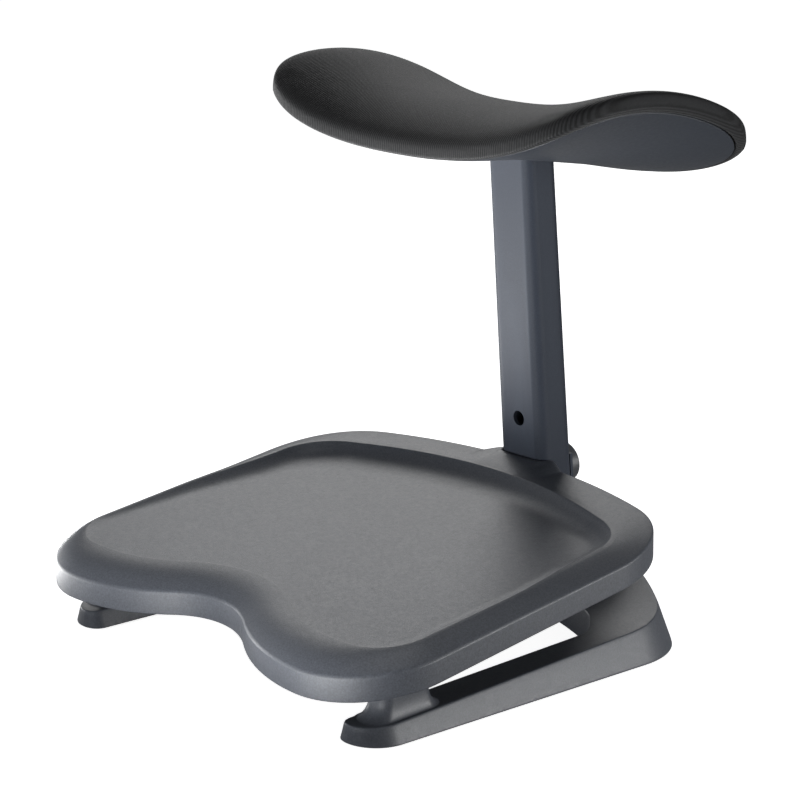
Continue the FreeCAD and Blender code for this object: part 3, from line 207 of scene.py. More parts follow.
def grained(name, colour, grain, contrast, roughness, relief, specular=0.5):
    """A moulded or coated surface: speckled colour, fine relief, painted highlight on sharp edges."""
    edge_highlight_tone = 1.9
    edge_highlight_share = 0.35
    uneven = 0.03
    material, nodes, links, shader = new_material(name)
    space = nodes.new("ShaderNodeTexCoord").outputs["Object"]
    speckle = noise(nodes, links, space, 1 / grain, 3.0, 0.6)
    tone = ramp(
        nodes,
        links,
        speckle,
        (
            (0.3, tinted(colour, 1 - contrast)),
            (0.5, colour),
            (0.7, tinted(colour, 1 + contrast)),
        ),
    )
    # Painted highlight: the colour is lightened along sharp edges, found from the mesh's pointiness.
    edges = nodes.new("ShaderNodeNewGeometry").outputs["Pointiness"]
    edge_highlight = ramp(nodes, links, edges, ((0.52, (0.0, 0.0, 0.0)), (0.62, (edge_highlight_share,) * 3)))
    lighter = nodes.new("ShaderNodeMix")
    lighter.data_type = "RGBA"
    lighter.inputs[7].default_value = (*tinted(colour, edge_highlight_tone), 1.0)
    links.new(edge_highlight, lighter.inputs[0])
    links.new(tone, lighter.inputs[6])
    links.new(lighter.outputs[2], shader.inputs["Base Color"])
    clouds = noise(nodes, links, space, 0.35 / grain, 2.0)
    links.new(
        spread(nodes, links, clouds, roughness - uneven, roughness + uneven), shader.inputs["Roughness"]
    )
    bump(nodes, links, shader, noise(nodes, links, space, 1.6 / grain, 2.0), relief, grain * 0.4)
    shader.inputs["Specular IOR Level"].default_value = specular
    return material


def woven(name, colour, rib, thread):
    """A black ribbed weave: ribs across the pad, finer cross threads, fluff, with painted shade in the grooves and
    painted light on the ridges.
    """
    thread_share = 0.22
    groove_shade = 0.42
    ridge_light = 1.55
    material, nodes, links, shader = new_material(name)
    space = nodes.new("ShaderNodeTexCoord").outputs["Object"]
    waves = []
    for direction, period, wobble in (("X", rib, 0.6), ("Y", thread, 1.2)):
        wave = nodes.new("ShaderNodeTexWave")
        wave.wave_type = "BANDS"
        wave.bands_direction = direction
        wave.inputs["Scale"].default_value = 2 * math.pi / (20 * period)
        wave.inputs["Distortion"].default_value = wobble
        wave.inputs["Detail"].default_value = 1.5
        wave.inputs["Detail Scale"].default_value = 1.5
        links.new(space, wave.inputs["Vector"])
        waves.append(wave.outputs["Fac"])
    cloth = nodes.new("ShaderNodeMix")
    cloth.data_type = "FLOAT"
    cloth.inputs[0].default_value = thread_share
    links.new(waves[0], cloth.inputs[2])
    links.new(waves[1], cloth.inputs[3])
    height = cloth.outputs[0]
    # Painted shade and light: the colour is darker in the weave's grooves and lighter on its ridges, following its
    # height.
    stops = ((0.15, tinted(colour, groove_shade)), (0.85, tinted(colour, ridge_light)))
    tone = ramp(nodes, links, height, stops)
    links.new(tone, shader.inputs["Base Color"])
    fluff = noise(nodes, links, space, 700.0, 2.0)
    links.new(spread(nodes, links, fluff, 0.62, 0.74), shader.inputs["Roughness"])
    bump(nodes, links, shader, height, 0.5, 0.0004)
    shader.inputs["Sheen Weight"].default_value = 0.05
    shader.inputs["Sheen Roughness"].default_value = 0.45
    shader.inputs["Specular IOR Level"].default_value = 0.16
    return material


def steel(name, colour, roughness):
    """Plated steel with fine brushing."""
    uneven = 0.08
    material, nodes, links, shader = new_material(name)
    space = nodes.new("ShaderNodeTexCoord").outputs["Object"]
    brushed = noise(nodes, links, space, 900.0, 3.0)
    tone = ramp(
        nodes, links, brushed, ((0.3, tinted(colour, 0.8)), (0.7, tinted(colour, 1.1)))
    )
    links.new(tone, shader.inputs["Base Color"])
    links.new(
        spread(nodes, links, brushed, roughness - uneven, roughness + uneven), shader.inputs["Roughness"]
    )
    bump(nodes, links, shader, brushed, 0.12, 0.0001)
    shader.inputs["Metallic"].default_value = 1.0
    return material


LOOKS = {
    "grey_moulding": grained("grey_moulding", (0.054, 0.059, 0.070), 0.0011, 0.22, 0.46, 0.16),
    "tray_moulding": grained("tray_moulding", (0.052, 0.057, 0.068), 0.0013, 0.26, 0.47, 0.22),
    "grey_metal": grained("grey_metal", (0.030, 0.035, 0.046), 0.0008, 0.12, 0.50, 0.10, specular=0.09),
    "pad_shell": grained("pad_shell", (0.017, 0.020, 0.026), 0.0010, 0.10, 0.46, 0.08, specular=0.4),
    "fabric": woven("fabric", (0.0085, 0.0088, 0.0095), 0.0021, 0.0011),
    "foam": grained("foam", (0.35, 0.34, 0.30), 0.0015, 0.20, 0.90, 0.40),
    "board": grained("board", (0.50, 0.38, 0.25), 0.0040, 0.25, 0.70, 0.20),
    "rubber": grained("rubber", (0.020, 0.020, 0.021), 0.0008, 0.25, 0.80, 0.25),
    "black_plastic": grained("black_plastic", (0.020, 0.020, 0.022), 0.0010, 0.20, 0.45, 0.10),
    "knob": grained("knob", (0.050, 0.052, 0.057), 0.0008, 0.18, 0.38, 0.10),
    "zinc_steel": steel("zinc_steel", (0.55, 0.55, 0.56), 0.32),
}
subparts = {item["node"]: item["material_slot"] for item in frame["record"]["subparts"]}
for node_name, node in frame["nodes"].items():
    node.data.materials.clear()
    node.data.materials.append(LOOKS[subparts[node_name]])

# Foot tray: rings that follow the outline from the lower edge to the dish
NOTCH_CENTRE = (0.0, -217.4)
NOTCH_RADIUS = 80.0
LOBE_CENTRE = (133.5, -6.0)
LOBE_RADIUS = 170.0
FRONT_CENTRE = (133.5, -106.0)
FRONT_RADIUS = 70.0
REAR_RADIUS = 84.0
REAR_EDGE_RADIUS = 520.0
HALF_WIDTH = 203.5
TRAY_REAR = 168.0
REAR_EDGE_CENTRE = (0.0, TRAY_REAR - REAR_EDGE_RADIUS)
REAR_CENTRE_X = HALF_WIDTH - REAR_RADIUS
REAR_CENTRE_Y = REAR_EDGE_CENTRE[1] + math.sqrt(
    (REAR_EDGE_RADIUS - REAR_RADIUS) ** 2 - REAR_CENTRE_X**2
)
SIDE_INSET = 16.0
REAR_INSET = 33.0
CORNER_INSET = 24.0
FRONT_INSET = 32.0
FLOOR_INSET = 68.0
WIDE_INSET = 36.0
SIDE_EASE_START = -30.0
REAR_LIFT = 2.2
REAR_LIFT_RUN = 0.9 * REAR_RADIUS
RIM_ROLL = 1.35
FRONT_ROLL_POWER = 2.4
CREST_HEIGHT = 8.2
CREST_SLOPE = math.tan(math.radians(0.9))
DISH_HEIGHT = 2.5
DISH_SLOPE = math.tan(math.radians(3.1))
CREST_ROUND = 1.2
CREST_DROP = 0.25
WALL_RUN = 8.0
WALL_RUN_PER_DEPTH = 1.6
WALL_POWER = 2.6
LIP_THICKNESS = 4.2
LIP_RISE = 6.0
VISOR_HALF = 48.0
VISOR_RISE = 5.0
VISOR_BACK = 8.0
VISOR_LEVEL = 15.0
VISOR_MARGIN = 1.0
VISOR_POWER = 1.2
VISOR_SINK = 0.35
VISOR_SINK_RUN = 0.25
VISOR_LOW = 2.0
VISOR_DEPTH = 14.0
POST_HALF = (25.0, 17.0)
POST_CORNER = 9.0
POST_GAP = 0.9


def rear_inset(x):
    """How far the rear rim's crest lies inside the edge: wider towards the corners."""
    corner_end = REAR_CENTRE_X * REAR_EDGE_RADIUS / (REAR_EDGE_RADIUS - REAR_RADIUS)
    return mix(REAR_INSET, WIDE_INSET, (x / corner_end) ** 2)


def tray_outline():
    """The tray's outer edge as (point, crest inset, share of front roll)."""
    notch_turn = math.degrees(math.atan2(LOBE_CENTRE[1] - NOTCH_CENTRE[1], LOBE_CENTRE[0]))
    rear_turn = math.degrees(math.atan2(REAR_CENTRE_Y - REAR_EDGE_CENTRE[1], REAR_CENTRE_X))
    half = []
    for point in arc_points(NOTCH_CENTRE, NOTCH_RADIUS, 90, notch_turn, 16):
        half.append((point, FRONT_INSET, 1.0))
    for point in arc_points(LOBE_CENTRE, LOBE_RADIUS, 180 + notch_turn, 270, 22):
        half.append((point, FRONT_INSET, 1.0))
    corner = arc_points(FRONT_CENTRE, FRONT_RADIUS, 270, 360, 26)
    for step, point in enumerate(corner):
        share = smooth_step(step / len(corner))
        half.append((point, mix(FRONT_INSET, SIDE_INSET, share), 1 - share))
    side = line_points((HALF_WIDTH, FRONT_CENTRE[1]), (HALF_WIDTH, REAR_CENTRE_Y), 24)
    for point in side:
        share = smooth_step((point.y - SIDE_EASE_START) / (REAR_CENTRE_Y - SIDE_EASE_START))
        half.append((point, mix(SIDE_INSET, CORNER_INSET, share), 0.0))
    corner = arc_points((REAR_CENTRE_X, REAR_CENTRE_Y), REAR_RADIUS, 0, rear_turn, 24)
    for step, point in enumerate(corner):
        share = smooth_step(step / len(corner))
        half.append((point, mix(CORNER_INSET, WIDE_INSET, share), 0.0))
    near_turn = math.degrees(math.acos(VISOR_HALF / REAR_EDGE_RADIUS))
    for start, end, count in ((rear_turn, near_turn, 18), (near_turn, 90, 34)):
        for point in arc_points(REAR_EDGE_CENTRE, REAR_EDGE_RADIUS, start, end, count):
            half.append((point, rear_inset(point.x), 0.0))
    rear = Vector((0.0, REAR_EDGE_CENTRE[1] + REAR_EDGE_RADIUS))
    other = [(Vector((-p.x, p.y)), inset, roll) for p, inset, roll in reversed(half[1:])]
    return half + [(rear, REAR_INSET, 0.0)] + other


def crest_height(y):
    return CREST_HEIGHT - CREST_SLOPE * y


def rim_share(share):
    """Share of the crest's height reached on the way in from the outer edge."""
    if share < 0:
        return share * RIM_ROLL
    return 1 - (1 - min(share, 1.0)) ** RIM_ROLL


def rear_lift(y):
    """How far the rim's outer edge rises over the tray's plane towards the post."""
    return REAR_LIFT * smooth_step((y - REAR_CENTRE_Y) / REAR_LIFT_RUN)


def dish_height(y):
    return DISH_HEIGHT - DISH_SLOPE * y


def visor_back(x):
    """How far behind the lock point the collar ends: along the post's front, then its sides."""
    reach = POST_CORNER + POST_GAP
    past = abs(x) - (POST_HALF[0] - POST_CORNER)
    corner_y = -(POST_HALF[1] - POST_CORNER)
    if past >= reach:
        return -VISOR_BACK
    if past <= 0:
        return corner_y - reach
    return min(corner_y - math.sqrt(reach**2 - past**2), -VISOR_BACK)


def tray_along(x):
    """The place on the tray's plane that lies at the collar's back edge."""
    spot = post_place(x, visor_back(x), VISOR_LEVEL) / MM
    y = spot.y - SHIFT_Y
    boss = y * math.cos(TRAY_TILT) + (spot.z - TRAY_HEIGHT) * math.sin(TRAY_TILT)
    edge = REAR_EDGE_CENTRE[1] + math.sqrt(REAR_EDGE_RADIUS**2 - x**2) - VISOR_MARGIN
    return mix(boss, edge, smooth_step((abs(x) - POST_HALF[0]) / (VISOR_HALF - POST_HALF[0])))


def make_tray():
    """The tray's skin: lower lip, band, rim, crest, dish wall and floor."""
    edge = tray_outline()
    outer = [item[0] for item in edge]
    normals = inward_normals(outer)
    edge_round = 1.6
    low_round = 1.0
    rows = []

    def rim(index, inset):
        """Height of the rim at an inset: rolled at the front, nearly straight elsewhere."""
        point, crest_inset, roll = edge[index]
        y = (point + normals[index] * crest_inset).y
        share = min(inset / crest_inset, 1.0)
        rolled = dish_height(y) * (1 - (1 - share) ** FRONT_ROLL_POWER)
        lift = rear_lift(point.y)
        return mix(mix(lift, crest_height(y), rim_share(share)), rolled, roll)

    def add(inset_of, height_of, drop=0.0):
        row = []
        for index, point in enumerate(outer):
            inset = inset_of(index)
            spot = point + normals[index] * inset
            along = spot.y
            if abs(spot.x) < VISOR_HALF and spot.y > 0:
                along = min(spot.y, tray_along(spot.x))
            row.append(tray_place(spot.x, along, height_of(index, inset), drop))
        rows.append(row)

    add(lambda i: LIP_THICKNESS, lambda i, d: 0.0, BAND_HEIGHT - LIP_RISE)
    add(lambda i: LIP_THICKNESS, lambda i, d: 0.0, BAND_HEIGHT)
    for step in range(4):
        angle = math.radians(30 * step)
        inset = low_round * (1 - math.sin(angle))
        drop = BAND_HEIGHT - low_round * (1 - math.cos(angle))
        add(lambda i, inset=inset: inset, lambda i, d: 0.0, drop)
    for step in range(6):
        angle = math.radians(18 * step)
        inset = edge_round * (1 - math.cos(angle))
        drop = edge_round * (1 - math.sin(angle))
        add(lambda i, inset=inset: inset, rim, drop)
    for step in range(1, 12):
        share = step / 12
        add(lambda i, s=share: mix(edge_round, edge[i][1], s), rim)
    for inset, drop in ((-CREST_ROUND, CREST_DROP), (0.0, 0.0), (CREST_ROUND, CREST_DROP)):

        def lip(i, d, drop=drop):
            return rim(i, d) - drop * (1 - edge[i][2])

        add(lambda i, inset=inset: edge[i][1] + inset, lip)
    for step in range(1, 13):
        share = step / 12

        def wall_inset(i, share=share):
            point, crest_inset, roll = edge[i]
            y = (point + normals[i] * crest_inset).y
            depth = max(crest_height(y) - dish_height(y), 0.0) * (1 - roll)
            return crest_inset + CREST_ROUND + (WALL_RUN + depth * WALL_RUN_PER_DEPTH) * share

        def wall_height(i, inset, share=share):
            point, _, roll = edge[i]
            spot = point + normals[i] * inset
            depth = (crest_height(spot.y) - dish_height(spot.y) - CREST_DROP) * (1 - roll)
            return dish_height(spot.y) + depth * (1 - share) ** WALL_POWER

        add(wall_inset, wall_height)

    def floor_height(i, inset):
        return dish_height((outer[i] + normals[i] * inset).y)

    add(lambda i: FLOOR_INSET, floor_height)
    count = len(outer)
    points = [point for row in rows for point in row]
    faces = ring_faces(len(rows), count)
    last = (len(rows) - 1) * count
    faces.append(tuple(range(last, last + count)))
    piece = make_piece("tray_skin", points, faces, LOOKS["tray_moulding"], "root")
    return piece


tray = make_tray()


def rounded_ring(half_width, front, rear, corner):
    """A rounded rectangle from its front to its rear, anticlockwise, with points along its rear."""
    steps = 8
    rear_steps = 16
    corners = (
        (half_width - corner, -front + corner, -90),
        (half_width - corner, rear - corner, 0),
        (-half_width + corner, rear - corner, 90),
        (-half_width + corner, -front + corner, 180),
    )
    points = []
    for x, y, start in corners:
        for step in range(steps + 1):
            angle = math.radians(start + 90 * step / steps)
            points.append((x + corner * math.cos(angle), y + corner * math.sin(angle)))
    half = 2 * (steps + 1)
    right, left = points[half - 1][0], points[half][0]
    between = [(mix(right, left, step / rear_steps), rear) for step in range(1, rear_steps)]
    return points[:half] + between + points[half:]


def make_collar():
    """The visor that rises from the tray's rear rim to the front of the post."""
    columns = 61
    levels = 14
    edge_round = 0.7
    edge_drops = (0.8 * MM, 2.5 * MM)
    rows = [[] for _ in range(levels + 5)]
    for column in range(columns):
        x = VISOR_HALF * (2 * column / (columns - 1) - 1)
        front = REAR_EDGE_CENTRE[1] + math.sqrt((REAR_EDGE_RADIUS - rear_inset(x)) ** 2 - x**2)
        back = tray_along(x)
        width = smooth_step((VISOR_HALF - abs(x)) / (VISOR_HALF - POST_HALF[0]))
        for level in range(levels + 1):
            share = level / levels
            y = mix(front, back, share)
            inset = REAR_EDGE_RADIUS - math.hypot(x, y - REAR_EDGE_CENTRE[1])
            part = inset / rear_inset(x)
            rise = VISOR_RISE * width * share**VISOR_POWER
            sink = VISOR_SINK * (1 - min(1.0, share * width / VISOR_SINK_RUN))
            top = mix(rear_lift(back), crest_height(front), rim_share(part)) + rise - sink
            rounding = edge_round if level == levels else 0.0
            rows[level].append(tray_place(x, y, top - rounding))
        ridge = rows[levels][-1]
        for row, drop in zip(rows[levels + 1 : levels + 3], edge_drops):
            row.append(ridge - Vector((0, 0, drop)))
        rows[levels + 3].append(tray_place(x, back, 0.0, VISOR_LOW))
        rows[levels + 4].append(tray_place(x, back, 0.0, VISOR_LOW + VISOR_DEPTH))
    points = [point for row in rows for point in row]
    faces = ring_faces(len(rows), columns, closed=False)
    piece = make_piece("tray_collar", points, faces, LOOKS["tray_moulding"], "root")
    return piece


collar = make_collar()
for piece in (tray, collar):
    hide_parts("tray_shell")

# Calf pad: fabric cover over foam, and the moulded shell below it
PAD_HALF_WIDTH = 173.7
PAD_HALF_DEPTH = 110.0
PAD_POWER = 5.76
PAD_Y = 138.4
PAD_Z = 378.6
TOP_HEIGHT = 15.9
TOP_POWER = 4.9
BELLY = 27.1
BELLY_POWER = 1.45
END_RISE = 31.0
END_POWER = 2.4
EDGE_ROLL = 26.8
PAD_SLOPE = 0.146
SEAM_SHARE = 0.963
COVER_EASE = 1.008
COVER_LIFT = 0.6
COVER_RIM = (0.995, 0.986, 0.975, SEAM_SHARE)
TUCK_IN = 0.006
TUCK_UP = 0.6
HEM_IN = 0.010
HEM_HEIGHT = -0.5
SEAM_HOLD = 1.0
SHELL_EDGE = SEAM_SHARE - 0.004
SHELL_RIM = ((0.9995, 0.5), (0.996, 2.5))


def saddle(x, y):
    """The curved middle of the pad: ends raised, front and rear rolled down."""
    rise = END_RISE * abs(x / PAD_HALF_WIDTH) ** END_POWER
    roll = -EDGE_ROLL * (y / PAD_HALF_DEPTH) ** 2
    return PAD_Z + rise - PAD_SLOPE * y + roll


def swell(share, power):
    return max(0.0, 1.0 - min(share, 1.0) ** power) ** (1 / power)


def belly(share):
    """Height of the pad's underside over the saddle."""
    return -BELLY * swell(share, BELLY_POWER)


def pad_point(u, v, height):
    """A pad point from its place in a square, kept to the pad's rounded outline."""
    share = max(abs(u), abs(v))
    if share > 0:
        norm = (abs(u) ** PAD_POWER + abs(v) ** PAD_POWER) ** (1 / PAD_POWER)
        u, v = u * share / norm, v * share / norm
    x = u * PAD_HALF_WIDTH
    y = v * PAD_HALF_DEPTH
    return place(x, PAD_Y + y, saddle(x, y) + height)


def square_grid(shares, height_of):
    """Points and quads of a square grid whose rings lie at the given shares."""
    reach = len(shares) - 1
    count = 2 * reach + 1
    points = []
    for row in range(-reach, reach + 1):
        for column in range(-reach, reach + 1):
            u = math.copysign(shares[abs(column)], column)
            v = math.copysign(shares[abs(row)], row)
            points.append(pad_point(u, v, height_of(max(abs(u), abs(v)))))
    return points, ring_faces(count, count, closed=False)


def border(shares):
    """The border of a square grid, anticlockwise, as (row, column, u, v)."""
    reach = len(shares) - 1
    last = 2 * reach
    steps = [math.copysign(shares[abs(i)], i) for i in range(-reach, reach + 1)]
    edge = shares[-1]
    path = [(0, i, steps[i], -edge) for i in range(last)]
    path += [(i, last, edge, steps[i]) for i in range(last)]
    path += [(last, i, steps[i], edge) for i in range(last, 0, -1)]
    path += [(i, 0, -edge, steps[i]) for i in range(last, 0, -1)]
    return path


def add_skirt(points, faces, shares, rims):
    """Adds rings below the border of a grid and joined to it, each as (scale, height)."""
    path = border(shares)
    side = 2 * len(shares) - 1
    rings = [[row * side + column for row, column, _, _ in path]]
    for scale, height in rims:
        rings.append(list(range(len(points), len(points) + len(path))))
        for _, _, u, v in path:
            points.append(pad_point(u * scale, v * scale, height))
    for first, second in zip(rings, rings[1:]):
        for step in range(len(path)):
            after = (step + 1) % len(path)
            faces.append((first[step], first[after], second[after], second[step]))


def make_cover():
    """The fabric cover: a soft top that wraps round the edge to a seam below."""
    flat_share = 0.9
    flat_steps = 18
    round_steps = 9
    shares = [flat_share * step / flat_steps for step in range(flat_steps + 1)]
    start = math.acos(flat_share ** (TOP_POWER / 2))
    for step in range(1, round_steps + 1):
        angle = start * (1 - step / round_steps)
        shares.append(math.cos(angle) ** (2 / TOP_POWER))
    shares = [share * COVER_EASE for share in shares]
    points, faces = square_grid(
        shares, lambda share: COVER_LIFT + TOP_HEIGHT * swell(share / COVER_EASE, TOP_POWER)
    )
    rims = [(share, belly(share)) for share in COVER_RIM]
    rims.append((SEAM_SHARE - TUCK_IN, belly(SEAM_SHARE) + TUCK_UP))
    rims.append((SEAM_SHARE - HEM_IN, HEM_HEIGHT))
    add_skirt(points, faces, shares, rims)
    piece = make_piece("calf_pad_cover", points, faces, LOOKS["fabric"], "post", weighted=False)
    return piece


def settle_cloth(piece, frames, cap):
    """Lets the cover swell as cloth under pressure, with its seam held."""
    rest = [vertex.co.copy() for vertex in piece.data.vertices]
    pinned = piece.vertex_groups.new(name="seam")
    seam_height = belly(SEAM_SHARE) + SEAM_HOLD
    held = []
    for vertex in piece.data.vertices:
        x = vertex.co.x / MM
        y = vertex.co.y / MM - SHIFT_Y - PAD_Y
        if vertex.co.z / MM - saddle(x, y) < seam_height or vertex.co.z / MM < saddle(x, y):
            held.append(vertex.index)
    pinned.add(held, 1.0, "REPLACE")
    cloth = piece.modifiers.new("cloth", "CLOTH")
    cloth.settings.quality = 6
    cloth.settings.mass = 0.3
    cloth.settings.tension_stiffness = 25
    cloth.settings.compression_stiffness = 25
    cloth.settings.bending_stiffness = 3
    cloth.settings.use_pressure = True
    cloth.settings.uniform_pressure_force = 3.0
    cloth.settings.effector_weights.gravity = 0.0
    cloth.settings.vertex_group_mass = "seam"
    cloth.collision_settings.use_collision = False
    cloth.point_cache.frame_start = 1
    cloth.point_cache.frame_end = frames
    scene = bpy.context.scene
    for step in range(1, frames + 1):
        scene.frame_set(step)
    shown = piece.evaluated_get(bpy.context.evaluated_depsgraph_get())
    moved = [vertex.co.copy() for vertex in shown.data.vertices]
    piece.modifiers.remove(cloth)
    scene.frame_set(1)
    for vertex, before, after in zip(piece.data.vertices, rest, moved):
        step = after - before
        if step.length > cap:
            step = step.normalized() * cap
        vertex.co = before + step
    piece.data.update()


cover = make_cover()
settle_cloth(cover, frames=16, cap=0.5 * MM)
soften = cover.modifiers.new("soften", "SUBSURF")
soften.levels = 1
soften.render_levels = 1
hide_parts("pad_cover")


def make_shell():
    """The moulded shell under the pad, with a lip that meets the fabric's seam."""
    steps = 26
    shares = [SHELL_EDGE * math.sin(math.pi / 2 * step / steps) for step in range(steps + 1)]
    points, faces = square_grid(shares, belly)
    rims = [(scale, belly(SHELL_EDGE) + up) for scale, up in SHELL_RIM]
    add_skirt(points, faces, shares, rims)
    piece = make_piece("calf_pad_shell", points, faces, LOOKS["pad_shell"], "post", weighted=False)
    return piece


shell = make_shell()
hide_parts("pad_shell")

# Base: a drafted U with necks and a pedestal
BASE_LIFT = 0.8
TOE_START = (157.3, -149.0)
TOE_OUTER_RADIUS = 27.0
TOE_INNER_RADIUS = 22.0
TOE_CORNER_RADIUS = 11.0
TOE_INNER_TURN = 252.0
FOOT_OUTER = TOE_START[0] + TOE_OUTER_RADIUS
BLOCK_RADIUS = 70.0
REAR_RADIUS_BASE = 250.0
BASE_REAR = 226.0
BAY_RADIUS = 40.0
BAY_REAR_RADIUS = 269.0
BAY_REAR = 143.0
BAY_FLAT = 134.0
BAY_EASE = 4.0
BAY_TURN = 1.4
SIDE_DRAFT = math.tan(math.radians(20.0))
FRONT_DRAFT = math.tan(math.radians(8.6))
BAY_DRAFT = math.tan(math.radians(19.0))
BAY_REAR_DRAFT = math.tan(math.radians(3.0))
FOOT_HEIGHT = 13.0
RUNNER_SLOPE = math.tan(math.radians(2.6))
SWEEP_START = 105.0
SWEEP_RADIUS = 270.0
BLOCK_TOP = BASE_LIFT + 44.0
NECK_PLACE = (161.5, -106.0)
NECK_SHAFT = (11.5, 21.0, 22.0, 8.0)
NECK_FOOT = (15.5, 36.0, 35.0, 15.0)
NECK_FLARE = 14.0
NECK_BITE = 1.0
PEDESTAL_Y = 178.0
PEDESTAL_REAR = 35.5
PEDESTAL_SHAFT = (68.0, 35.0, PEDESTAL_REAR, 6.0)
PEDESTAL_FOOT = (80.0, 38.0, PEDESTAL_REAR, 14.0)
PEDESTAL_FLARE = 18.0
PEDESTAL_SKIRT = 16.0
PEDESTAL_STEP = 10.0
RAIL_HOLE = (46.0, 30.0)
FOOT_SINK = 0.4
KNOB_CLEAR = 79.0
CHANNEL = (31.0, 23.0, 10.0)
CHANNEL_FLOOR = 12.0


def base_top(y):
    """Height of the base's upper face: a ramp that sweeps up at the rear."""
    ramp_height = BASE_LIFT + FOOT_HEIGHT + (y - TOE_START[1]) * RUNNER_SLOPE
    past = max(y - SWEEP_START, 0.0)
    height = ramp_height + SWEEP_RADIUS - math.sqrt(SWEEP_RADIUS**2 - past**2)
    return min(height, BLOCK_TOP)


def base_paths():
    """The outer and inner half outlines on the floor, with matching points."""
    start_x, start_y = TOE_START
    toe_y = start_y + TOE_OUTER_RADIUS
    edge_y = BASE_REAR - REAR_RADIUS_BASE
    corner_x = FOOT_OUTER - BLOCK_RADIUS
    corner_y = edge_y + math.sqrt((REAR_RADIUS_BASE - BLOCK_RADIUS) ** 2 - corner_x**2)
    turn = math.degrees(math.atan2(corner_y - edge_y, corner_x))
    outer = arc_points((start_x, toe_y), TOE_OUTER_RADIUS, 270, 360, 14)
    outer += line_points((FOOT_OUTER, toe_y), (FOOT_OUTER, corner_y), 40)
    outer += arc_points((corner_x, corner_y), BLOCK_RADIUS, 0, turn, 18)
    outer += arc_points((0, edge_y), REAR_RADIUS_BASE, turn, 90, 22)
    outer.append(Vector((0, BASE_REAR)))
    turn = math.radians(TOE_INNER_TURN)
    toe = Vector((start_x, start_y + TOE_INNER_RADIUS))
    tip = toe + (TOE_INNER_RADIUS - TOE_CORNER_RADIUS) * Vector((math.cos(turn), math.sin(turn)))
    foot_inner = tip.x - TOE_CORNER_RADIUS
    edge_y = BAY_REAR - BAY_REAR_RADIUS
    corner_x = foot_inner - BAY_RADIUS
    corner_y = edge_y + math.sqrt((BAY_REAR_RADIUS - BAY_RADIUS) ** 2 - corner_x**2)
    turn = math.degrees(math.atan2(corner_y - edge_y, corner_x))
    inner = arc_points(toe, TOE_INNER_RADIUS, 270, TOE_INNER_TURN, 7)
    inner += arc_points(tip, TOE_CORNER_RADIUS, TOE_INNER_TURN, 180, 7)
    inner += line_points((foot_inner, tip.y), (foot_inner, corner_y), 40)
    inner += arc_points((corner_x, corner_y), BAY_RADIUS, 0, turn, 18)
    rear = arc_points((0, edge_y), BAY_REAR_RADIUS, turn, 90, 22) + [Vector((0, BAY_REAR))]
    for point in rear:
        past = max(point.y - BAY_FLAT, 0.0)
        flattened = point.y - past + BAY_EASE * (1 - math.exp(-past / BAY_EASE))
        inner.append(Vector((point.x, flattened)))
    return outer, inner


def mirrored_path(half):
    return half + [Vector((-p.x, p.y)) for p in reversed(half[:-1])]


def path_normals(points, side):
    """Unit normals along an open path, to its left for 1 and to its right for -1."""
    normals = []
    for index in range(len(points)):
        ahead = points[min(index + 1, len(points) - 1)]
        behind = points[max(index - 1, 0)]
        run = (ahead - behind).normalized()
        normals.append(Vector((-run.y, run.x)) * side)
    return normals


def under_pedestal(corners):
    """Whether a face of the base lies inside the pedestal, where the post's channel runs."""
    middle = sum(corners, Vector((0, 0, 0))) / len(corners) / MM
    across = abs(middle.x)
    along = abs(middle.y - SHIFT_Y - PEDESTAL_Y)
    return across < RAIL_HOLE[0] and along < RAIL_HOLE[1] and middle.z > FOOT_HEIGHT


def make_base_rail():
    """The U-shaped base from its outer lower edge over the top to the inner edge."""
    paths = [mirrored_path(half) for half in base_paths()]
    normals = [path_normals(paths[0], 1), path_normals(paths[1], -1)]
    side_drafts = (SIDE_DRAFT, BAY_DRAFT)
    # Share of the wall's height, inset from the drafted wall, drop
    profile = (
        (0.0, 1.0, 0.0),
        (0.0, 0.3, -0.3),
        (0.08, 0.0, 0.0),
        (0.35, 0.0, 0.0),
        (0.65, 0.0, 0.0),
        (0.9, 0.0, 0.0),
        (1.0, 0.0, 0.8),
        (1.0, 0.3, 0.2),
        (1.0, 1.0, 0.0),
    )

    def wall_row(side, share, inset, drop):
        row = []
        for point, normal in zip(paths[side], normals[side]):
            frontal = max(normal.y, 0.0)
            draft = mix(side_drafts[side], FRONT_DRAFT, frontal**3)
            if side == 1 and point.y > 0:
                draft = mix(BAY_DRAFT, BAY_REAR_DRAFT, smooth_step(BAY_TURN * frontal))
            spot = point
            for _ in range(3):
                rise = base_top(spot.y) - BASE_LIFT
                spot = point + normal * (rise * draft * share + inset)
            row.append((spot, BASE_LIFT + (base_top(spot.y) - BASE_LIFT) * share - drop))
        return row

    rows = [wall_row(0, *item) for item in profile]
    outer_crease = rows[-1]
    inner_rows = [wall_row(1, *item) for item in reversed(profile)]
    inner_crease = inner_rows[0]
    steps = 9
    for step in range(1, steps):
        row = []
        for (first, _), (second, _) in zip(outer_crease, inner_crease):
            spot = first.lerp(second, step / steps)
            row.append((spot, base_top(spot.y)))
        rows.append(row)
    rows += inner_rows
    points = [place(spot.x, spot.y, height) for row in rows for spot, height in row]
    count = len(paths[0])
    faces = ring_faces(len(rows), count, closed=False)
    faces = [face for face in faces if not under_pedestal([points[i] for i in face])]
    last = (len(rows) - 1) * count
    for step in range(count - 1):
        faces.append((step + 1, step, last + step, last + step + 1))
    piece = make_piece("base_rail", points, faces, LOOKS["grey_moulding"], "root")
    return piece


def under_tray(y):
    """Height of the tray's lower edge plane."""
    return TRAY_HEIGHT - BAND_HEIGHT + y * math.tan(TRAY_TILT)


def neck_top(y):
    """A neck's upper edge, a little inside the tray."""
    return under_tray(y) + NECK_BITE


def pedestal_top(y):
    """The pedestal's upper edge: in the tray, and lower behind it to clear the knob."""
    return mix(neck_top(y), KNOB_CLEAR, smooth_step((y - TRAY_REAR) / PEDESTAL_STEP))


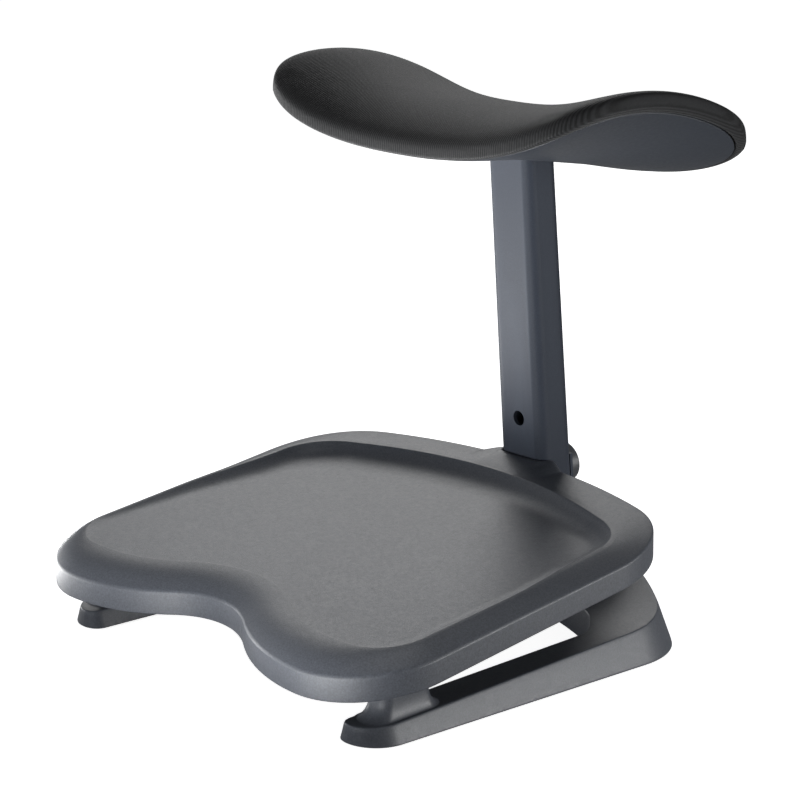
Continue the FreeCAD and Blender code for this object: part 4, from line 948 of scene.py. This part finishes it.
def follow_rear_edge(x, y):
    """Bend the pedestal's rear wall to the arc of the base's rear edge."""
    share = max(y - PEDESTAL_Y, 0.0) / PEDESTAL_REAR
    radius = PEDESTAL_Y + PEDESTAL_REAR - BASE_REAR + REAR_RADIUS_BASE
    return x, y - share * (radius - math.sqrt(radius**2 - x**2))


def post_ring(size, z):
    """A ring round the post where its leaning axis passes a height."""
    axis_y = LOCK_Y + (LOCK_Z - z) * math.tan(POST_LEAN)
    return [(x, axis_y + y) for x, y in rounded_ring(size[0], size[1], size[1], size[2])]


def column_ring(middle, shaft, foot, out):
    """A column's outline between its shaft and its wider foot.

    Shaft and foot are given as half width, front, rear and corner radius.
    """
    shape = [mix(narrow, wide, out) for narrow, wide in zip(shaft, foot)]
    return [follow_rear_edge(middle[0] + x, middle[1] + y) for x, y in rounded_ring(*shape)]


def make_column(name, middle, shaft, foot, flare, top, channel=None):
    """A column from the base to the tray, flared at its foot, closed or with a channel inside."""
    flare_steps = 8
    levels = [(1.0, -PEDESTAL_SKIRT)] if channel else []
    for step in range(flare_steps + 1):
        angle = math.radians(90 * step / flare_steps)
        levels.append((1 - math.sin(angle), flare * (1 - math.cos(angle))))
    rows = []
    for out, up in levels:
        ring = column_ring(middle, shaft, foot, out)
        rows.append([place(x, y, base_top(y) - FOOT_SINK + up) for x, y in ring])
    rows.append([place(x, y, top(y)) for x, y in column_ring(middle, shaft, foot, 0.0)])
    if channel:
        rows.append([place(x, y, top(y)) for x, y in post_ring(channel, top(middle[1]))])
        rows.append([place(x, y, CHANNEL_FLOOR) for x, y in post_ring(channel, CHANNEL_FLOOR)])
    points = [point for row in rows for point in row]
    faces = ring_faces(len(rows), len(rows[0]))
    if not channel:
        last = (len(rows) - 1) * len(rows[0])
        faces.append(tuple(range(last, last + len(rows[0]))))
    piece = make_piece(name, points, faces, LOOKS["grey_moulding"], "root")
    return piece


rail = make_base_rail()
columns = []
for side, sign in (("left", -1), ("right", 1)):
    middle = (sign * NECK_PLACE[0], NECK_PLACE[1])
    neck = make_column(f"base_neck_{side}", middle, NECK_SHAFT, NECK_FOOT, NECK_FLARE, neck_top)
    columns.append(neck)
pedestal = make_column(
    "base_pedestal",
    (0.0, PEDESTAL_Y),
    PEDESTAL_SHAFT,
    PEDESTAL_FOOT,
    PEDESTAL_FLARE,
    pedestal_top,
    CHANNEL,
)
for piece in (rail, pedestal, *columns):
    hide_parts("base_frame")

# Camera
CAMERA_LENS = 117.0
CAMERA_SENSOR = 36.0
CAMERA_PLACE = (1424.9, -1200.0, 664.3)
CAMERA_TURN = math.radians(49.07)
CAMERA_TILT = math.radians(14.42)
camera_data = bpy.data.cameras.new("camera")
camera_data.lens = CAMERA_LENS
camera_data.sensor_width = CAMERA_SENSOR
camera = bpy.data.objects.new("camera", camera_data)
bpy.context.scene.collection.objects.link(camera)
camera.location = place(*CAMERA_PLACE)
looking = Vector(
    (
        -math.sin(CAMERA_TURN) * math.cos(CAMERA_TILT),
        math.cos(CAMERA_TURN) * math.cos(CAMERA_TILT),
        -math.sin(CAMERA_TILT),
    )
)
camera.rotation_mode = "QUATERNION"
camera.rotation_quaternion = looking.to_track_quat("-Z", "Y")
bpy.context.scene.camera = camera

# White room: a floor that keeps the shadow, and soft lights
FLOOR_REACH = 12.0
FLOOR_BOUNCE = 0.35
FLOOR_WHITE = 0.9
WORLD_FILL = 0.16
WORLD_WHITE = 1.0
floor_material, nodes, links, shader = new_material("studio_floor")
shader.inputs["Base Color"].default_value = (0.82, 0.82, 0.82, 1.0)
shader.inputs["Roughness"].default_value = 0.9
rays = nodes.new("ShaderNodeLightPath")
seen = nodes.new("ShaderNodeMixShader")
links.new(rays.outputs["Is Camera Ray"], seen.inputs["Fac"])
glow = nodes.new("ShaderNodeEmission")
glow.inputs["Color"].default_value = (1.0, 1.0, 1.0, 1.0)
glow.inputs["Strength"].default_value = FLOOR_WHITE
joined = nodes.new("ShaderNodeAddShader")
links.new(shader.outputs["BSDF"], joined.inputs[0])
links.new(glow.outputs["Emission"], joined.inputs[1])
bounce = nodes.new("ShaderNodeBsdfDiffuse")
bounce.inputs["Color"].default_value = (FLOOR_BOUNCE, FLOOR_BOUNCE, FLOOR_BOUNCE, 1.0)
links.new(bounce.outputs["BSDF"], seen.inputs[1])
links.new(joined.outputs["Shader"], seen.inputs[2])
links.new(seen.outputs["Shader"], nodes["Material Output"].inputs["Surface"])
floor_mesh = bpy.data.meshes.new("studio_floor")
floor_corners = [(x * FLOOR_REACH, y * FLOOR_REACH, 0) for x, y in ((-1, -1), (1, -1), (1, 1), (-1, 1))]
floor_mesh.from_pydata(floor_corners, [], [(0, 1, 2, 3)])
floor_mesh.materials.append(floor_material)
floor = bpy.data.objects.new("studio_floor", floor_mesh)
bpy.context.scene.collection.objects.link(floor)

world = bpy.data.worlds.new("studio")
bpy.context.scene.world = world
world.use_nodes = True
nodes = world.node_tree.nodes
links = world.node_tree.links
fill = nodes["Background"]
fill.inputs["Color"].default_value = (0.95, 0.97, 1.0, 1.0)
fill.inputs["Strength"].default_value = WORLD_FILL
white = nodes.new("ShaderNodeBackground")
white.inputs["Color"].default_value = (1.0, 1.0, 1.0, 1.0)
white.inputs["Strength"].default_value = WORLD_WHITE
rays = nodes.new("ShaderNodeLightPath")
seen = nodes.new("ShaderNodeMixShader")
links.new(rays.outputs["Is Camera Ray"], seen.inputs["Fac"])
links.new(fill.outputs["Background"], seen.inputs[1])
links.new(white.outputs["Background"], seen.inputs[2])
links.new(seen.outputs["Shader"], nodes["World Output"].inputs["Surface"])


def soft_light(name, location, target, size, power, mirrored=True):
    """A soft box aimed at a point, which glossy surfaces may mirror."""
    data = bpy.data.lights.new(name, "AREA")
    data.shape = "RECTANGLE"
    data.size = size[0]
    data.size_y = size[1]
    data.energy = power
    lamp = bpy.data.objects.new(name, data)
    bpy.context.scene.collection.objects.link(lamp)
    lamp.location = location
    lamp.visible_camera = False
    lamp.visible_glossy = mirrored
    lamp.rotation_mode = "QUATERNION"
    lamp.rotation_quaternion = (Vector(target) - Vector(location)).to_track_quat("-Z", "Y")


# Each light's place and aim in metres, its size, and its power in watts
soft_light("rear_left_box", (-1.6, 1.2, 1.15), (0.0, -0.05, 0.12), (1.3, 0.9), 14.0)
soft_light("top_box", (0.1, 0.0, 2.1), (0.0, 0.0, 0.1), (1.2, 1.2), 8.5)
soft_light("left_panel", (-2.1, -0.35, 0.16), (0.0, -0.05, 0.06), (1.1, 0.32), 12.0)
soft_light("left_card", (-0.50, -0.22, 0.01), (-0.50, -0.22, 1.0), (0.4, 0.5), 16.0)
soft_light("front_card", (0.14, -0.58, 0.01), (0.14, -0.58, 1.0), (0.4, 0.4), 17.0)
soft_light("front_strip", (0.0, -0.72, 0.07), (0.02, 0.0, 0.07), (0.5, 0.12), 2.5, False)
soft_light("right_strip", (0.95, 0.45, 0.08), (0.1, 0.0, 0.06), (0.6, 0.12), 4.6)
soft_light("rear_right_panel", (1.8, 1.3, 0.45), (0.05, 0.1, 0.12), (1.2, 0.8), 13.0)

bpy.context.scene.view_settings.view_transform = "Standard"
